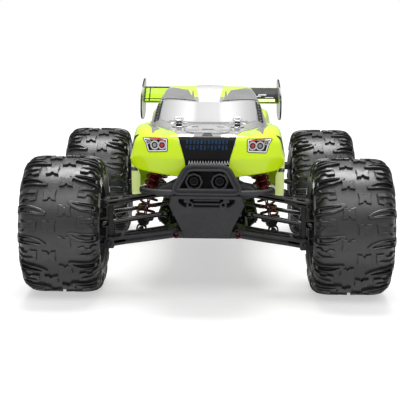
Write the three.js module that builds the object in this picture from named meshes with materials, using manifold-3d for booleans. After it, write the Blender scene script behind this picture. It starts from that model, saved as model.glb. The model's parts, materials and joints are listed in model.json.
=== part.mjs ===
// Large-scale radio-controlled monster truck, in millimetres.
// The truck faces -Y, stands on Z = 0 and is centred on X = 0, Y = 0. Its left side is +X.
import * as THREE from "three";
import { mergeVertices } from "three/addons/utils/BufferGeometryUtils.js";
import Module from "manifold-3d";

const wasm = await Module();
wasm.setup();

// ---------------------------------------------------------------- driving dimensions

const WHEELBASE = 330;
const AXLE_Y = WHEELBASE / 2;
const GAP = 0.3; // between parts that touch

const WHEEL = {
  x: 155, // middle of the tyre, from the truck's centre plane
  z: 75,
  tyreRadius: 75,
  halfWidth: 43.6,
  beadRadius: 46,
  facets: 24, // one facet faces down, so the tyre stands on a flat patch
};
const KINGPIN_X = 118;
const AXLE_RADIUS = 6;

// Every link of a corner spans the same way, so the wheel stays upright as it rises.
const LINK = { dx: 73, dz: -12.6 };
const LINK_LENGTH = Math.hypot(LINK.dx, LINK.dz);
const LINK_SLOPE = Math.atan2(-LINK.dz, LINK.dx);
const LOWER_IN = { x: 33, z: 70 };
const UPPER_IN = { x: 38, z: 112 };
const SHAFT_IN = { x: 45, z: 87.6 };
const TIE_IN = { x: 34, z: 94.6 };
const TIE_Y = 38; // behind the axle line
const LOWER_OUT = outerEnd(LOWER_IN);
const UPPER_OUT = outerEnd(UPPER_IN);
const TIE_OUT = outerEnd(TIE_IN);

const SHOCK = {
  y: 23.5, // from the axle line, towards the middle of the truck
  top: { x: 50, z: 160 },
  foot: { x: 74, z: 66 },
  springRadius: 9.5,
};
const SHOCK_LENGTH = Math.hypot(SHOCK.foot.x - SHOCK.top.x, SHOCK.top.z - SHOCK.foot.z);
const SHOCK_LEAN = Math.atan2(SHOCK.foot.x - SHOCK.top.x, SHOCK.top.z - SHOCK.foot.z);

const FLOOR = { bottom: 61, top: 64.2, halfWidth: 50, front: -168, back: 192 };
const GEARBOX = { halfWidth: 26, front: -26, back: 17, bottom: 64.5, top: 106 };
const POST = { x: 32, y: 11.5, radius: 3, top: 192 };
const SHAFT_Z = 83; // centre driveshaft
const SPUR = { y: 60, radius: 18, halfWidth: 4 };
const PINION = { x: 23.5, z: 91, radius: 6.4 };

function outerEnd(inner) {
  return { x: inner.x + LINK.dx, z: inner.z + LINK.dz };
}

// ---------------------------------------------------------------- materials

function finish(colour, roughness, metalness = 0) {
  return new THREE.MeshStandardMaterial({ color: colour, roughness, metalness });
}
const RUBBER = finish(0x2b2b2c, 0.85);
const BLACK_NYLON = finish(0x1c1c1e, 0.55);
const GREY_NYLON = finish(0x3a3a3d, 0.6);
const STEEL = finish(0x2a2a2c, 0.3, 0.9);
const RED_ALUMINIUM = finish(0x5c1220, 0.35, 0.8);
const CHROME = finish(0xb9bbc0, 0.2, 1);
const LIME_SHELL = finish(0xb4e600, 0.25);
const WING_SHELL = finish(0x8fb800, 0.3);
const PACK_BLUE = finish(0x274a78, 0.5);
const BRASS = finish(0x8f7a3f, 0.4, 0.8);

// ---------------------------------------------------------------- solid helpers

function solid(geometry) {
  const bare = geometry.index ? geometry.toNonIndexed() : geometry.clone();
  bare.deleteAttribute("normal");
  bare.deleteAttribute("uv");
  const merged = mergeVertices(bare, 1e-4);
  return new wasm.Manifold(
    new wasm.Mesh({
      numProp: 3,
      vertProperties: merged.attributes.position.array,
      triVerts: new Uint32Array(merged.index.array),
    }),
  );
}

function toGeometry(manifold) {
  const mesh = manifold.getMesh();
  const geometry = new THREE.BufferGeometry();
  geometry.setAttribute("position", new THREE.BufferAttribute(mesh.vertProperties, 3));
  geometry.setIndex(new THREE.BufferAttribute(mesh.triVerts, 1));
  geometry.computeVertexNormals();
  return geometry;
}

function join(...geometries) {
  return toGeometry(geometries.map(solid).reduce((whole, next) => whole.add(next)));
}

function cut(geometry, ...tools) {
  return toGeometry(tools.map(solid).reduce((rest, tool) => rest.subtract(tool), solid(geometry)));
}

function block(x0, x1, y0, y1, z0, z1) {
  const geometry = new THREE.BoxGeometry(x1 - x0, y1 - y0, z1 - z0);
  return geometry.translate((x0 + x1) / 2, (y0 + y1) / 2, (z0 + z1) / 2);
}

function bar(from, to, radius, sides = 8) {
  const start = new THREE.Vector3(...from);
  const end = new THREE.Vector3(...to);
  const geometry = new THREE.CylinderGeometry(radius, radius, start.distanceTo(end), sides);
  const along = end.clone().sub(start).normalize();
  geometry.applyQuaternion(new THREE.Quaternion().setFromUnitVectors(new THREE.Vector3(0, 1, 0), along));
  const middle = start.add(end).multiplyScalar(0.5);
  return geometry.translate(middle.x, middle.y, middle.z);
}

function ball(x, y, z, radius) {
  return new THREE.SphereGeometry(radius, 8, 4).translate(x, y, z);
}

function extrude(outline, depth) {
  const shape = new THREE.Shape(outline.map(([a, b]) => new THREE.Vector2(a, b)));
  return new THREE.ExtrudeGeometry(shape, { depth, bevelEnabled: false });
}

// A plate with its outline in X and Y.
function plateXY(outline, z0, z1) {
  return extrude(outline, z1 - z0).translate(0, 0, z0);
}

// A plate with its outline in X and Z.
function plateXZ(outline, y0, y1) {
  return extrude(outline, y1 - y0).rotateX(Math.PI / 2).translate(0, y1, 0);
}

// A plate with its outline in Y and Z.
function plateYZ(outline, x0, x1) {
  const turn = new THREE.Matrix4().makeBasis(
    new THREE.Vector3(0, 1, 0),
    new THREE.Vector3(0, 0, 1),
    new THREE.Vector3(1, 0, 0),
  );
  return extrude(outline, x1 - x0).applyMatrix4(turn).translate(x0, 0, 0);
}

// An outline given for +X, completed by its mirror image.
function mirrored(outline) {
  return [...outline, ...outline.toReversed().map(([a, b]) => [-a, b])];
}

// A turned solid about the Y axis, from [radius, height] points in either order.
function turned(profile, sides, firstAngle = 0) {
  const points = profile.map(([r, h]) => new THREE.Vector2(r, h));
  const outwards = THREE.ShapeUtils.area(points) > 0;
  return new THREE.LatheGeometry(outwards ? points : points.reverse(), sides, firstAngle);
}

// A turned solid about the X axis: its heights run outwards along +X.
function wheelTurned(profile, sides) {
  return turned(profile, sides, Math.PI / sides).rotateZ(-Math.PI / 2);
}

function mesh(name, geometry, material) {
  const made = new THREE.Mesh(geometry, material);
  made.name = name;
  return made;
}

function placed(made, x, y, z, lean = 0) {
  made.position.set(x, y, z);
  made.rotation.y = lean;
  return made;
}

// ---------------------------------------------------------------- wheel

function tyreGeometry() {
  const { halfWidth: w, beadRadius: b, facets } = WHEEL;
  const r = WHEEL.tyreRadius / Math.cos(Math.PI / facets);
  // The carcass is an open channel: tread and side walls outside, air space inside.
  const outside = [
    [b, 37.2],
    [b + 4, 37.4],
    [b + 12, w],
    [r - 9, 42],
    [r - 3, 35],
    [r, 21],
  ];
  const inside = [
    [r - 5, 22],
    [b + 15, 39],
    [b + 4, 32],
    [b, 32],
  ];
  const far = ([radius, u]) => [radius, -u];
  const loop = [
    ...outside,
    ...outside.toReversed().map(far),
    ...inside.toReversed().map(far),
    ...inside,
    outside[0],
  ];
  return wheelTurned(loop, WHEEL.facets);
}

function rimGeometry() {
  const barrel = WHEEL.beadRadius - 0.4;
  const profile = [
    [barrel, -37.6],
    [barrel, 37.6],
    [barrel + 3.4, 37.8],
    [barrel + 3.4, 40],
    [43, 40],
    [41, 12],
    [4.4, 13],
    [4.4, 3.5],
    [12, 3.5],
    [42, 7],
    [43, -40],
    [barrel + 3.4, -40],
    [barrel + 3.4, -37.8],
    [barrel, -37.6],
  ];
  return wheelTurned(profile, WHEEL.facets);
}

function stubAxleGeometry() {
  const profile = [
    [0, -30],
    [AXLE_RADIUS, -30],
    [AXLE_RADIUS, -6],
    [10, -5],
    [10, 3.2],
    [4.1, 3.2],
    [4.1, 23],
    [0, 23],
  ];
  return wheelTurned(profile, 12);
}

// ---------------------------------------------------------------- suspension links

const LOWER_FORK = { inner: 11.5, outer: 17.5 };
const UPPER_FORK = { inner: 8.8, outer: 13.5 };

// The lower arm lies along local +X, from its inner pivot at the local origin.
function lowerArmGeometry() {
  const { inner, outer } = LOWER_FORK;
  const outline = [
    [0, -25.4],
    [30, -22],
    [56, -outer],
    [LINK_LENGTH, -outer],
    [LINK_LENGTH, outer],
    [54, outer],
    [38, 12.4],
    [0, 12.4],
  ];
  const pinX = 41.08;
  const pinZ = 3.03;
  const arm = join(
    plateXY(outline, -4.5, 4.5),
    bar([0, -25.4, 0], [0, 12.4, 0], 5.5),
    bar([LINK_LENGTH, -outer, 0], [LINK_LENGTH, outer, 0], 6),
    bar([pinX, 8, pinZ], [pinX, SHOCK.y + 4.5, pinZ], 2.5, 6),
  );
  const slot = block(62, 90, -inner, inner, -9, 9);
  const pockets = [-16, 3].map((y) => block(12, 32, y - 5, y + 5, 1, 9));
  return cut(arm, slot, ...pockets);
}

function upperArmGeometry() {
  const { inner, outer } = UPPER_FORK;
  const outline = [
    [0, -13],
    [18, -8],
    [46, -8],
    [60, -outer],
    [LINK_LENGTH, -outer],
    [LINK_LENGTH, outer],
    [62, outer],
    [46, 4],
    [18, 4],
    [0, 7],
  ];
  const arm = join(
    plateXY(outline, -3, 3),
    bar([0, -13, 0], [0, 7, 0], 4.5),
    bar([LINK_LENGTH, -outer, 0], [LINK_LENGTH, outer, 0], 4.6),
  );
  return cut(arm, block(62, 90, -inner, inner, -9, 9));
}

// The hub that carries the wheel: bosses for both arms, and its lower and upper jaws.
function carrierJaws() {
  return [
    block(102, 124, -8, 8, 94.3, 101.5),
    bar([UPPER_OUT.x, -8, UPPER_OUT.z], [UPPER_OUT.x, 8, UPPER_OUT.z], 5),
    block(102, 124, -8, 8, 49, 55.2),
    bar([LOWER_OUT.x, -10.5, LOWER_OUT.z], [LOWER_OUT.x, 10.5, LOWER_OUT.z], 5),
  ];
}

function frontCarrierGeometry() {
  const web = [
    [102, 49],
    [108, 49],
    [108, 101.5],
    [102, 101.5],
  ];
  const hub = join(plateXZ(web, -8, 8), block(102, 108, -10.5, 10.5, 60, 90), ...carrierJaws());
  return cut(hub, block(98, 112, -6.5, 6.5, 64.5, 86));
}

function rearCarrierGeometry() {
  const upright = block(124.5, 136, -13, 13, 49, 101.5);
  const jaws = [block(118, 130, -8, 8, 94.3, 101.5), block(118, 130, -8, 8, 49, 55.2)];
  return cut(join(upright, ...jaws, ...carrierJaws()), axleBore());
}

function axleBore() {
  return bar([100, 0, WHEEL.z], [160, 0, WHEEL.z], AXLE_RADIUS + 0.6, 12);
}

// The steering knuckle turns on the kingpin line and carries the stub axle.
function knuckleGeometry() {
  const armOutline = [
    [136, 8],
    [125, 22],
    [115, 32],
    [TIE_OUT.x + 3.4, TIE_Y + 4],
    [TIE_OUT.x - 4, TIE_Y + 4],
    [TIE_OUT.x - 4, TIE_Y - 5],
    [112, 24],
    [125, 8],
  ];
  const lugs = [
    [88, 93.7],
    [55.8, 61],
  ].flatMap(([z0, z1]) => [
    bar([KINGPIN_X, 0, z0], [KINGPIN_X, 0, z1], 5.5),
    block(KINGPIN_X, 126, -5.5, 5.5, z0, z1),
  ]);
  const upright = block(124.5, 136, -13, 13, 55.8, 93.7);
  return cut(join(upright, plateXY(armOutline, 73, 77.5), ...lugs), axleBore());
}

// A shaft with a ball at each end, along local +X from its inner ball.
function driveShaftGeometry() {
  const profile = [
    [0, -4.4],
    [3.2, -3],
    [4.4, 0],
    [3, 3.4],
    [3, LINK_LENGTH - 3.4],
    [4.4, LINK_LENGTH],
    [3.2, LINK_LENGTH + 3],
    [0, LINK_LENGTH + 4.4],
  ];
  return turned(profile, 8).rotateZ(-Math.PI / 2);
}

function tieRodGeometry() {
  const profile = [
    [0, -4],
    [3, -2.6],
    [4, 0],
    [3, 2.6],
    [2.4, 5],
    [2.4, LINK_LENGTH - 5],
    [3, LINK_LENGTH - 2.6],
    [4, LINK_LENGTH],
    [3, LINK_LENGTH + 2.6],
    [0, LINK_LENGTH + 4],
  ];
  return turned(profile, 8).rotateZ(-Math.PI / 2);
}

// ---------------------------------------------------------------- shock absorber
// Heights run down the shock from its top pin, so local +Y of the profile points down.

const SPRING = { from: 27.4, to: 82 };

function downTurned(profile, sides) {
  return turned(profile, sides).rotateX(-Math.PI / 2);
}

function eye(drop, radius, hole, halfWidth) {
  return {
    ring: bar([0, -halfWidth, -drop], [0, halfWidth, -drop], radius, 10),
    hole: bar([0, -halfWidth - 2, -drop], [0, halfWidth + 2, -drop], hole, 8),
  };
}

function shockBodyGeometry() {
  const profile = [
    [0, 3],
    [4, 3],
    [4, 8],
    [8.2, 11],
    [8.2, 22],
    [6.5, 24],
    [SHOCK.springRadius, 24],
    [SHOCK.springRadius, 27],
    [6.5, 27],
    [6.5, 58],
    [2.6, 58],
    [2.6, 28],
    [0, 28],
  ];
  const top = eye(0, 4.8, 2.7, 3.5);
  return cut(join(downTurned(profile, 10), top.ring), top.hole);
}

function shockRodGeometry() {
  const profile = [
    [0, 46],
    [2, 46],
    [2, SPRING.to + 0.4],
    [SHOCK.springRadius, SPRING.to + 0.4],
    [SHOCK.springRadius, SPRING.to + 3],
    [3.4, SPRING.to + 5],
    [3.4, SHOCK_LENGTH - 4.5],
    [0, SHOCK_LENGTH - 4.5],
  ];
  const foot = eye(SHOCK_LENGTH, 6, 4.2, 4);
  return cut(join(downTurned(profile, 10), foot.ring), foot.hole);
}

function springGeometry() {
  const outer = SHOCK.springRadius;
  const profile = [
    [outer, SPRING.from],
    [outer, SPRING.to],
    [outer - 2, SPRING.to],
    [outer - 2, SPRING.from],
    [outer, SPRING.from],
  ];
  return downTurned(profile, 12);
}

// ---------------------------------------------------------------- gearbox and shock tower
// Both are drawn about an axle line at local Y = 0, with +Y towards the middle of the truck.

function gearboxGeometry() {
  const { halfWidth, front, back, bottom, top } = GEARBOX;
  const caseOutline = mirrored([
    [halfWidth, bottom],
    [halfWidth, 98],
    [18, top],
  ]);
  const lowerPinPlate = mirrored([
    [41, 65],
    [41, 75],
    [34, 79],
  ]);
  const upperPinPlate = mirrored([
    [20, 98],
    [43, 107],
    [43, 118],
    [16, 118],
  ]);
  return join(
    plateXZ(caseOutline, front, back),
    plateXZ(lowerPinPlate, front - 5, front + 0.2),
    plateXZ(lowerPinPlate, 12.8, back),
    plateXZ(upperPinPlate, -19, -13.6),
    bar([-38, 0, SHAFT_IN.z], [38, 0, SHAFT_IN.z], 7.5, 10),
    bar([0, back - 2, SHAFT_Z], [0, back + 3, SHAFT_Z], 8, 10),
  );
}

function shockTowerGeometry() {
  const outline = mirrored([
    [43, 106.5],
    [43, 119],
    [31, 124],
    [34, 138],
    [58, 156],
    [58, 165],
    [40, 169],
    [24, 166],
    [12, 150],
  ]);
  const plate = plateXZ(outline, 8.8, 12.4);
  const pins = [-1, 1].map((side) => {
    const x = side * SHOCK.top.x;
    return bar([x, 11, SHOCK.top.z], [x, SHOCK.y + 5, SHOCK.top.z], 2.2, 6);
  });
  const posts = [-1, 1].map((side) => {
    const x = side * POST.x;
    return bar([x, POST.y, 140], [x, POST.y, POST.top], POST.radius);
  });
  const lightening = [-1, 1].map((side) => bar([side * 19, 0, 130], [side * 19, 20, 130], 6));
  return cut(join(plate, ...pins, ...posts), ...lightening);
}

// ---------------------------------------------------------------- chassis

function chassisPlateGeometry() {
  const { bottom, top, halfWidth, front, back } = FLOOR;
  const outline = mirrored([
    [22, front],
    [24, -150],
    [halfWidth, -118],
    [halfWidth, 118],
    [24, 150],
    [20, back],
  ]);
  const tailGuard = [
    [back - 6, bottom],
    [back + 6, bottom],
    [back + 28, 78],
    [back + 28, 84],
    [back + 24, 84],
    [back + 5, top],
    [back - 6, top],
  ];
  const guards = [-1, 1].map((side) => {
    const rail = [
      [side * (halfWidth - 4), bottom],
      [side * (halfWidth + 8), bottom + 10],
      [side * (halfWidth + 8), bottom + 16],
      [side * (halfWidth + 5), bottom + 16],
      [side * (halfWidth + 4), bottom + 11],
      [side * (halfWidth - 4), top],
    ];
    return plateXZ(side > 0 ? rail : rail.toReversed(), -112, 112);
  });
  return join(plateXY(outline, bottom, top), plateYZ(tailGuard, -28, 28), ...guards);
}

function skidPlateGeometry() {
  // Side view of the sloping plate, then its front outline and the light window cut through it.
  const side = [
    [-196.4, 66.4],
    [-200, 66.8],
    [-245.5, 119.6],
    [-241.5, 119.6],
    [-200, 72],
    [-196.4, 72],
  ];
  const front = mirrored([
    [24, 60],
    [24, 67],
    [37.5, 109],
    [33, 120],
  ]);
  const plate = solid(plateYZ(side, -45, 45)).intersect(solid(plateXZ(front, -260, -180)));
  const window = mirrored([
    [26, 106.5],
    [29, 116],
  ]);
  return cut(toGeometry(plate), plateXZ(window, -260, -180));
}

function frontBumperGeometry() {
  const faceY = -242;
  const tube = 3.4;
  const sides = [-1, 1].flatMap((side) => [
    bar([side * 34, faceY, 123.6], [side * 20.6, faceY, 149], tube),
    bar([side * 33, faceY, 123.4], [side * 70, -205, 120], tube),
    bar([side * 28, faceY + 2, 137], [side * 52, -224, 122], 1.8, 6),
    bar([side * 20, faceY, 123.6], [side * 17, -184.8, 113], 3, 6),
    bar([side * 13, -240, 134], [side * 13, -231, 134], 8.5),
    ball(side * 34, faceY, 123.6, tube),
    ball(side * 20.6, faceY, 149, tube),
    ball(side * 70, -205, 120, tube + 0.4),
  ]);
  const lampPlate = mirrored([
    [30, 123],
    [19, 147],
  ]);
  return join(
    bar([-34, faceY, 123.6], [34, faceY, 123.6], tube),
    bar([-20.6, faceY, 149], [20.6, faceY, 149], tube),
    plateXZ(lampPlate, -234, -230),
    block(-24, 24, -242, -231, 121, 126),
    block(-22, 22, -242, -232, 145.5, 149),
    ...sides,
  );
}

// ---------------------------------------------------------------- drive train and electronics

function motorGeometry() {
  const { y, halfWidth } = SPUR;
  const can = bar([PINION.x, 72, PINION.z], [PINION.x, 128, PINION.z], 16.5, 16);
  const boss = bar([PINION.x, 66, PINION.z], [PINION.x, 73, PINION.z], 7, 10);
  const foot = block(PINION.x - 9, PINION.x + 9, 78, 122, FLOOR.top + GAP, PINION.z - 10);
  const nose = bar([PINION.x, y + halfWidth + 1, PINION.z], [PINION.x, 68, PINION.z], 2.4, 8);
  return join(can, boss, foot, nose);
}

function pinionGeometry() {
  const { y, halfWidth } = SPUR;
  return bar([PINION.x, y - halfWidth, PINION.z], [PINION.x, y + halfWidth, PINION.z], PINION.radius, 12);
}

function spurGeometry() {
  const { y, radius, halfWidth } = SPUR;
  const shaftEnd = AXLE_Y - GEARBOX.back - 3.5;
  return join(
    bar([0, -shaftEnd, SHAFT_Z], [0, shaftEnd, SHAFT_Z], 3, 8),
    bar([0, y - halfWidth, SHAFT_Z], [0, y + halfWidth, SHAFT_Z], radius, 20),
    bar([0, y + halfWidth - 1, SHAFT_Z], [0, y + halfWidth + 5, SHAFT_Z], 5.5, 10),
  );
}

function batteryGeometry() {
  const pack = block(-45, -9, -78, 50, FLOOR.top + GAP, 87);
  const lead = bar([-20, -86, 76], [-20, -77, 76], 4);
  return join(pack, lead);
}

function servoGeometry() {
  const body = block(12, 32, -112, -72, FLOOR.top + GAP, 98);
  const ears = block(12, 32, -119, -65, 84, 87);
  const output = bar([22, -102, 97], [22, -102, 103], 5, 10);
  return join(body, ears, output);
}

function receiverBoxGeometry() {
  const box = block(12, 45, -60, 50, FLOOR.top + GAP, 84);
  const fan = block(17, 42, 8, 34, 83, 92);
  return join(box, fan);
}

function dragLinkGeometry() {
  const y = TIE_Y - AXLE_Y;
  const beam = block(-29, 29, y - 4, y + 4, TIE_IN.z - 4.5, TIE_IN.z + 1.5);
  const riser = block(17, 27, y - 3, y + 3, TIE_IN.z + 1, 102);
  const finger = block(17, 27, y + 2, -107.4, 98.4, 102);
  return join(beam, riser, finger);
}

// ---------------------------------------------------------------- body shell and wing

// Half sections of the shell from nose to tail. Columns run outwards from the centre line:
// crown height, then [x, z] of the bonnet or roof edge, pillar foot, fender crown, shoulder, hem.
const SHELL_STATIONS = [
  { y: -222, crown: 140, line: [[30, 138.5], [48, 141], [62, 144], [74, 148], [80, 151]] },
  { y: -226, crown: 155, line: [[28, 155], [48, 156], [62, 157], [76, 158], [81, 150]] },
  { y: -213, crown: 181, line: [[35, 180], [48, 178], [63, 177], [76, 172], [82, 150]] },
  { y: -190, crown: 184, line: [[36, 183], [46, 180], [64, 186], [77, 180], [83, 151]] },
  { y: -165, crown: 186, line: [[38, 185], [47, 181], [65, 188], [78, 182], [84, 152]] },
  { y: -141, crown: 188, line: [[42, 187], [51, 182], [66, 187], [78, 181], [85, 134]] },
  { y: -119, crown: 190, line: [[50, 188], [62, 182], [70, 184], [79, 178], [86, 102]] },
  { y: -85, crown: 200, line: [[54, 196], [62, 182], [69, 180], [78, 172], [84, 101]] },
  { y: -50, crown: 209, line: [[53, 205], [60, 183], [65, 176], [72, 165], [78, 100]] },
  { y: -10, crown: 216, line: [[49, 212], [57, 184], [62, 172], [68, 155], [72, 100]] },
  { y: 35, crown: 218, line: [[47, 214], [56, 184], [62, 170], [68, 152], [72, 100]] },
  { y: 80, crown: 207, line: [[45, 203], [56, 180], [63, 172], [70, 160], [74, 102]] },
  { y: 115, crown: 188, line: [[42, 187], [54, 179], [64, 180], [76, 174], [80, 118]] },
  { y: 160, crown: 181, line: [[38, 181], [50, 177], [65, 181], [79, 175], [84, 150]] },
  { y: 190, crown: 177, line: [[36, 177], [50, 174], [64, 173], [78, 167], [82, 150]] },
  { y: 196, crown: 152, line: [[36, 152], [50, 152], [64, 152], [76, 151], [80, 150]] },
];
const SHELL_WALL = 1.8;
const NOSE_SWEEP = 26; // how far the nose corners sit behind its middle

function sectionPoints(station) {
  const [edge] = station.line;
  const half = [[0, station.crown], [edge[0] / 2, (station.crown * 2 + edge[1]) / 3], ...station.line];
  const nose = THREE.MathUtils.clamp((-150 - station.y) / 72, 0, 1);
  const at = ([x, z], side) => {
    const sweep = nose * NOSE_SWEEP * (x / 80) ** 2.6;
    return new THREE.Vector3(side * x, station.y + sweep, z);
  };
  const left = half.slice(1).toReversed().map((point) => at(point, -1));
  return [...left, at(half[0], 1), ...half.slice(1).map((point) => at(point, 1))];
}

// Turns a grid of surface points into a closed sheet of the given wall thickness.
function thickSheet(rows, wall) {
  const last = rows.length - 1;
  const end = rows[0].length - 1;
  const inner = rows.map((row, i) =>
    row.map((point, j) => {
      const across = row[Math.min(j + 1, end)].clone().sub(row[Math.max(j - 1, 0)]);
      const along = rows[Math.min(i + 1, last)][j].clone().sub(rows[Math.max(i - 1, 0)][j]);
      return point.clone().addScaledVector(along.cross(across).normalize(), wall);
    }),
  );
  const triangles = [];
  const quad = (a, b, c, d) => triangles.push(a, b, c, a, c, d);
  for (let i = 0; i < last; i += 1) {
    for (let j = 0; j < end; j += 1) {
      quad(rows[i][j], rows[i][j + 1], rows[i + 1][j + 1], rows[i + 1][j]);
      quad(inner[i][j], inner[i + 1][j], inner[i + 1][j + 1], inner[i][j + 1]);
    }
    quad(rows[i][0], rows[i + 1][0], inner[i + 1][0], inner[i][0]);
    quad(rows[i][end], inner[i][end], inner[i + 1][end], rows[i + 1][end]);
  }
  for (let j = 0; j < end; j += 1) {
    quad(rows[0][j], inner[0][j], inner[0][j + 1], rows[0][j + 1]);
    quad(rows[last][j], rows[last][j + 1], inner[last][j + 1], inner[last][j]);
  }
  return new THREE.BufferGeometry().setFromPoints(triangles);
}

function bodyShellGeometry() {
  const sheet = thickSheet(SHELL_STATIONS.map(sectionPoints), SHELL_WALL);
  const holes = [-1, 1].flatMap((side) =>
    [-1, 1].map((end) => {
      const y = end * (AXLE_Y - POST.y);
      return bar([side * POST.x, y, 165], [side * POST.x, y, 200], POST.radius + 1.6);
    }),
  );
  return cut(sheet, ...holes);
}

function rearWingGeometry() {
  const plane = [
    [204, 185],
    [213, 187],
    [226, 193],
    [237, 202],
    [240, 201],
    [230, 190],
    [215, 184],
    [205, 182.5],
  ];
  const endPlate = [
    [200, 170],
    [206, 160],
    [222, 158],
    [238, 166],
    [245, 192],
    [245.4, 216],
    [236, 217],
    [214, 204],
    [201, 190],
  ];
  const strut = [
    [184.4, 108],
    [184.4, 117],
    [203, 150],
    [211, 186],
    [220, 189],
    [213, 150],
    [190, 108],
  ];
  return join(
    plateYZ(plane, -98, 98),
    plateYZ(endPlate, 97.5, 100.5),
    plateYZ(endPlate, -100.5, -97.5),
    plateYZ(strut, 14, 19),
    plateYZ(strut, -19, -14),
    block(-18, 18, 184.4, 188.4, 108, 116),
  );
}

// ---------------------------------------------------------------- assembly

function corner(name, side, end) {
  const group = new THREE.Group();
  group.scale.set(side, end, 1);
  group.position.y = -end * AXLE_Y;
  const steered = end > 0;
  const inWheel = (made) => placed(made, WHEEL.x, 0, WHEEL.z);
  const onLink = (made, pivot, y = 0) => placed(made, pivot.x, y, pivot.z, LINK_SLOPE);
  const onShock = (made) => placed(made, SHOCK.top.x, SHOCK.y, SHOCK.top.z, -SHOCK_LEAN);
  group.add(
    inWheel(mesh(`tyre_${name}`, tyreGeometry(), RUBBER)),
    inWheel(mesh(`rim_${name}`, rimGeometry(), BLACK_NYLON)),
    inWheel(mesh(`stub_axle_${name}`, stubAxleGeometry(), STEEL)),
    onLink(mesh(`lower_arm_${name}`, lowerArmGeometry(), BLACK_NYLON), LOWER_IN),
    onLink(mesh(`upper_arm_${name}`, upperArmGeometry(), BLACK_NYLON), UPPER_IN),
    onLink(mesh(`drive_shaft_${name}`, driveShaftGeometry(), STEEL), SHAFT_IN),
    onShock(mesh(`shock_body_${name}`, shockBodyGeometry(), RED_ALUMINIUM)),
    onShock(mesh(`shock_rod_${name}`, shockRodGeometry(), CHROME)),
    onShock(mesh(`spring_${name}`, springGeometry(), RED_ALUMINIUM)),
  );
  if (steered) {
    group.add(
      mesh(`caster_block_${name}`, frontCarrierGeometry(), BLACK_NYLON),
      mesh(`knuckle_${name}`, knuckleGeometry(), BLACK_NYLON),
      onLink(mesh(`tie_rod_${name}`, tieRodGeometry(), STEEL), TIE_IN, TIE_Y),
    );
  } else {
    group.add(mesh(`hub_carrier_${name}`, rearCarrierGeometry(), BLACK_NYLON));
  }
  return group;
}

function axleSet(name, end) {
  const group = new THREE.Group();
  group.scale.set(1, end, 1);
  group.position.y = -end * AXLE_Y;
  group.add(
    mesh(`${name}_gearbox`, gearboxGeometry(), BLACK_NYLON),
    mesh(`${name}_shock_tower`, shockTowerGeometry(), BLACK_NYLON),
  );
  return group;
}

const truck = new THREE.Group();
truck.add(
  corner("front_left", 1, 1),
  corner("front_right", -1, 1),
  corner("rear_left", 1, -1),
  corner("rear_right", -1, -1),
  axleSet("front", 1),
  axleSet("rear", -1),
  mesh("chassis_plate", chassisPlateGeometry(), GREY_NYLON),
  mesh("skid_plate", skidPlateGeometry(), GREY_NYLON),
  mesh("front_bumper", frontBumperGeometry(), GREY_NYLON),
  mesh("motor", motorGeometry(), BLACK_NYLON),
  mesh("motor_pinion", pinionGeometry(), BRASS),
  mesh("spur_gear", spurGeometry(), STEEL),
  mesh("battery_pack", batteryGeometry(), PACK_BLUE),
  mesh("steering_servo", servoGeometry(), BLACK_NYLON),
  mesh("receiver_box", receiverBoxGeometry(), BLACK_NYLON),
  mesh("drag_link", dragLinkGeometry(), GREY_NYLON),
  mesh("body_shell", bodyShellGeometry(), LIME_SHELL),
  mesh("rear_wing", rearWingGeometry(), WING_SHELL),
);

export default truck;
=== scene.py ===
"""Looks for the radio-controlled monster truck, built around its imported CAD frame.

Blender's side is in metres with +Z up, and the truck faces -Y. Shapes are drawn in millimetres.
"""
import json
import math

import bpy
import numpy as np
from mathutils import Matrix, Vector, geometry
from mathutils.bvhtree import BVHTree

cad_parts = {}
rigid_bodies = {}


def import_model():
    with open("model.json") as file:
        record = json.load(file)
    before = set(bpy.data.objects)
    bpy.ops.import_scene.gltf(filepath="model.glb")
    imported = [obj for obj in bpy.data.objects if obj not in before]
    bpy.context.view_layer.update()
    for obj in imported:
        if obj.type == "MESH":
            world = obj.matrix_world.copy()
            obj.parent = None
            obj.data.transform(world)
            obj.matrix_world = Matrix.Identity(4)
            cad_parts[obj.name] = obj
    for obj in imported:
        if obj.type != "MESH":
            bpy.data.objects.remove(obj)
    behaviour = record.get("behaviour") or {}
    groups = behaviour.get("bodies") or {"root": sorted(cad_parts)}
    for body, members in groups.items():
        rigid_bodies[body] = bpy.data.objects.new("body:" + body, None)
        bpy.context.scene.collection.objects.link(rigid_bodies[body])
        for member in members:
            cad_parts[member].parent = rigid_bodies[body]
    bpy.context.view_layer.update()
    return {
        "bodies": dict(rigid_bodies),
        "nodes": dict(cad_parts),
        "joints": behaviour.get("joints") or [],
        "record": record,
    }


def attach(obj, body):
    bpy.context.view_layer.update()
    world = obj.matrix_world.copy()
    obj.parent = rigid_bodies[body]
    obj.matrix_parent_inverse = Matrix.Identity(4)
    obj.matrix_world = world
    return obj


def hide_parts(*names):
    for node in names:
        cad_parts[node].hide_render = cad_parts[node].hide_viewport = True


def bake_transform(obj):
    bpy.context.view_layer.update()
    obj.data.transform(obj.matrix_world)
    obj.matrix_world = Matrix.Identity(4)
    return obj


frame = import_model()
MM = 0.001
HALF_TRACK = 155
AXLE_Y = 165  # both axles, in front of and behind the middle
AXLE_Z = 75
CORNERS = {
    "front_left": (1, -1),
    "front_right": (-1, -1),
    "rear_left": (1, 1),
    "rear_right": (-1, 1),
}


# ---------------------------------------------------------------- camera, light and floor

CAMERA_PLACE = (0.01198, -1.27942, 0.28522)
CAMERA_TURN = math.radians(1.03)
CAMERA_TILT = math.radians(90.0 - 9.30)
CAMERA_ROLL = math.radians(0.45)
CAMERA_LENS = 92.87
CAMERA_SENSOR = 36.0
CAMERA_CLIP = (0.05, 60.0)
WORLD_LIGHT = 0.5
WHITE = (1.0, 1.0, 1.0, 1.0)
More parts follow.
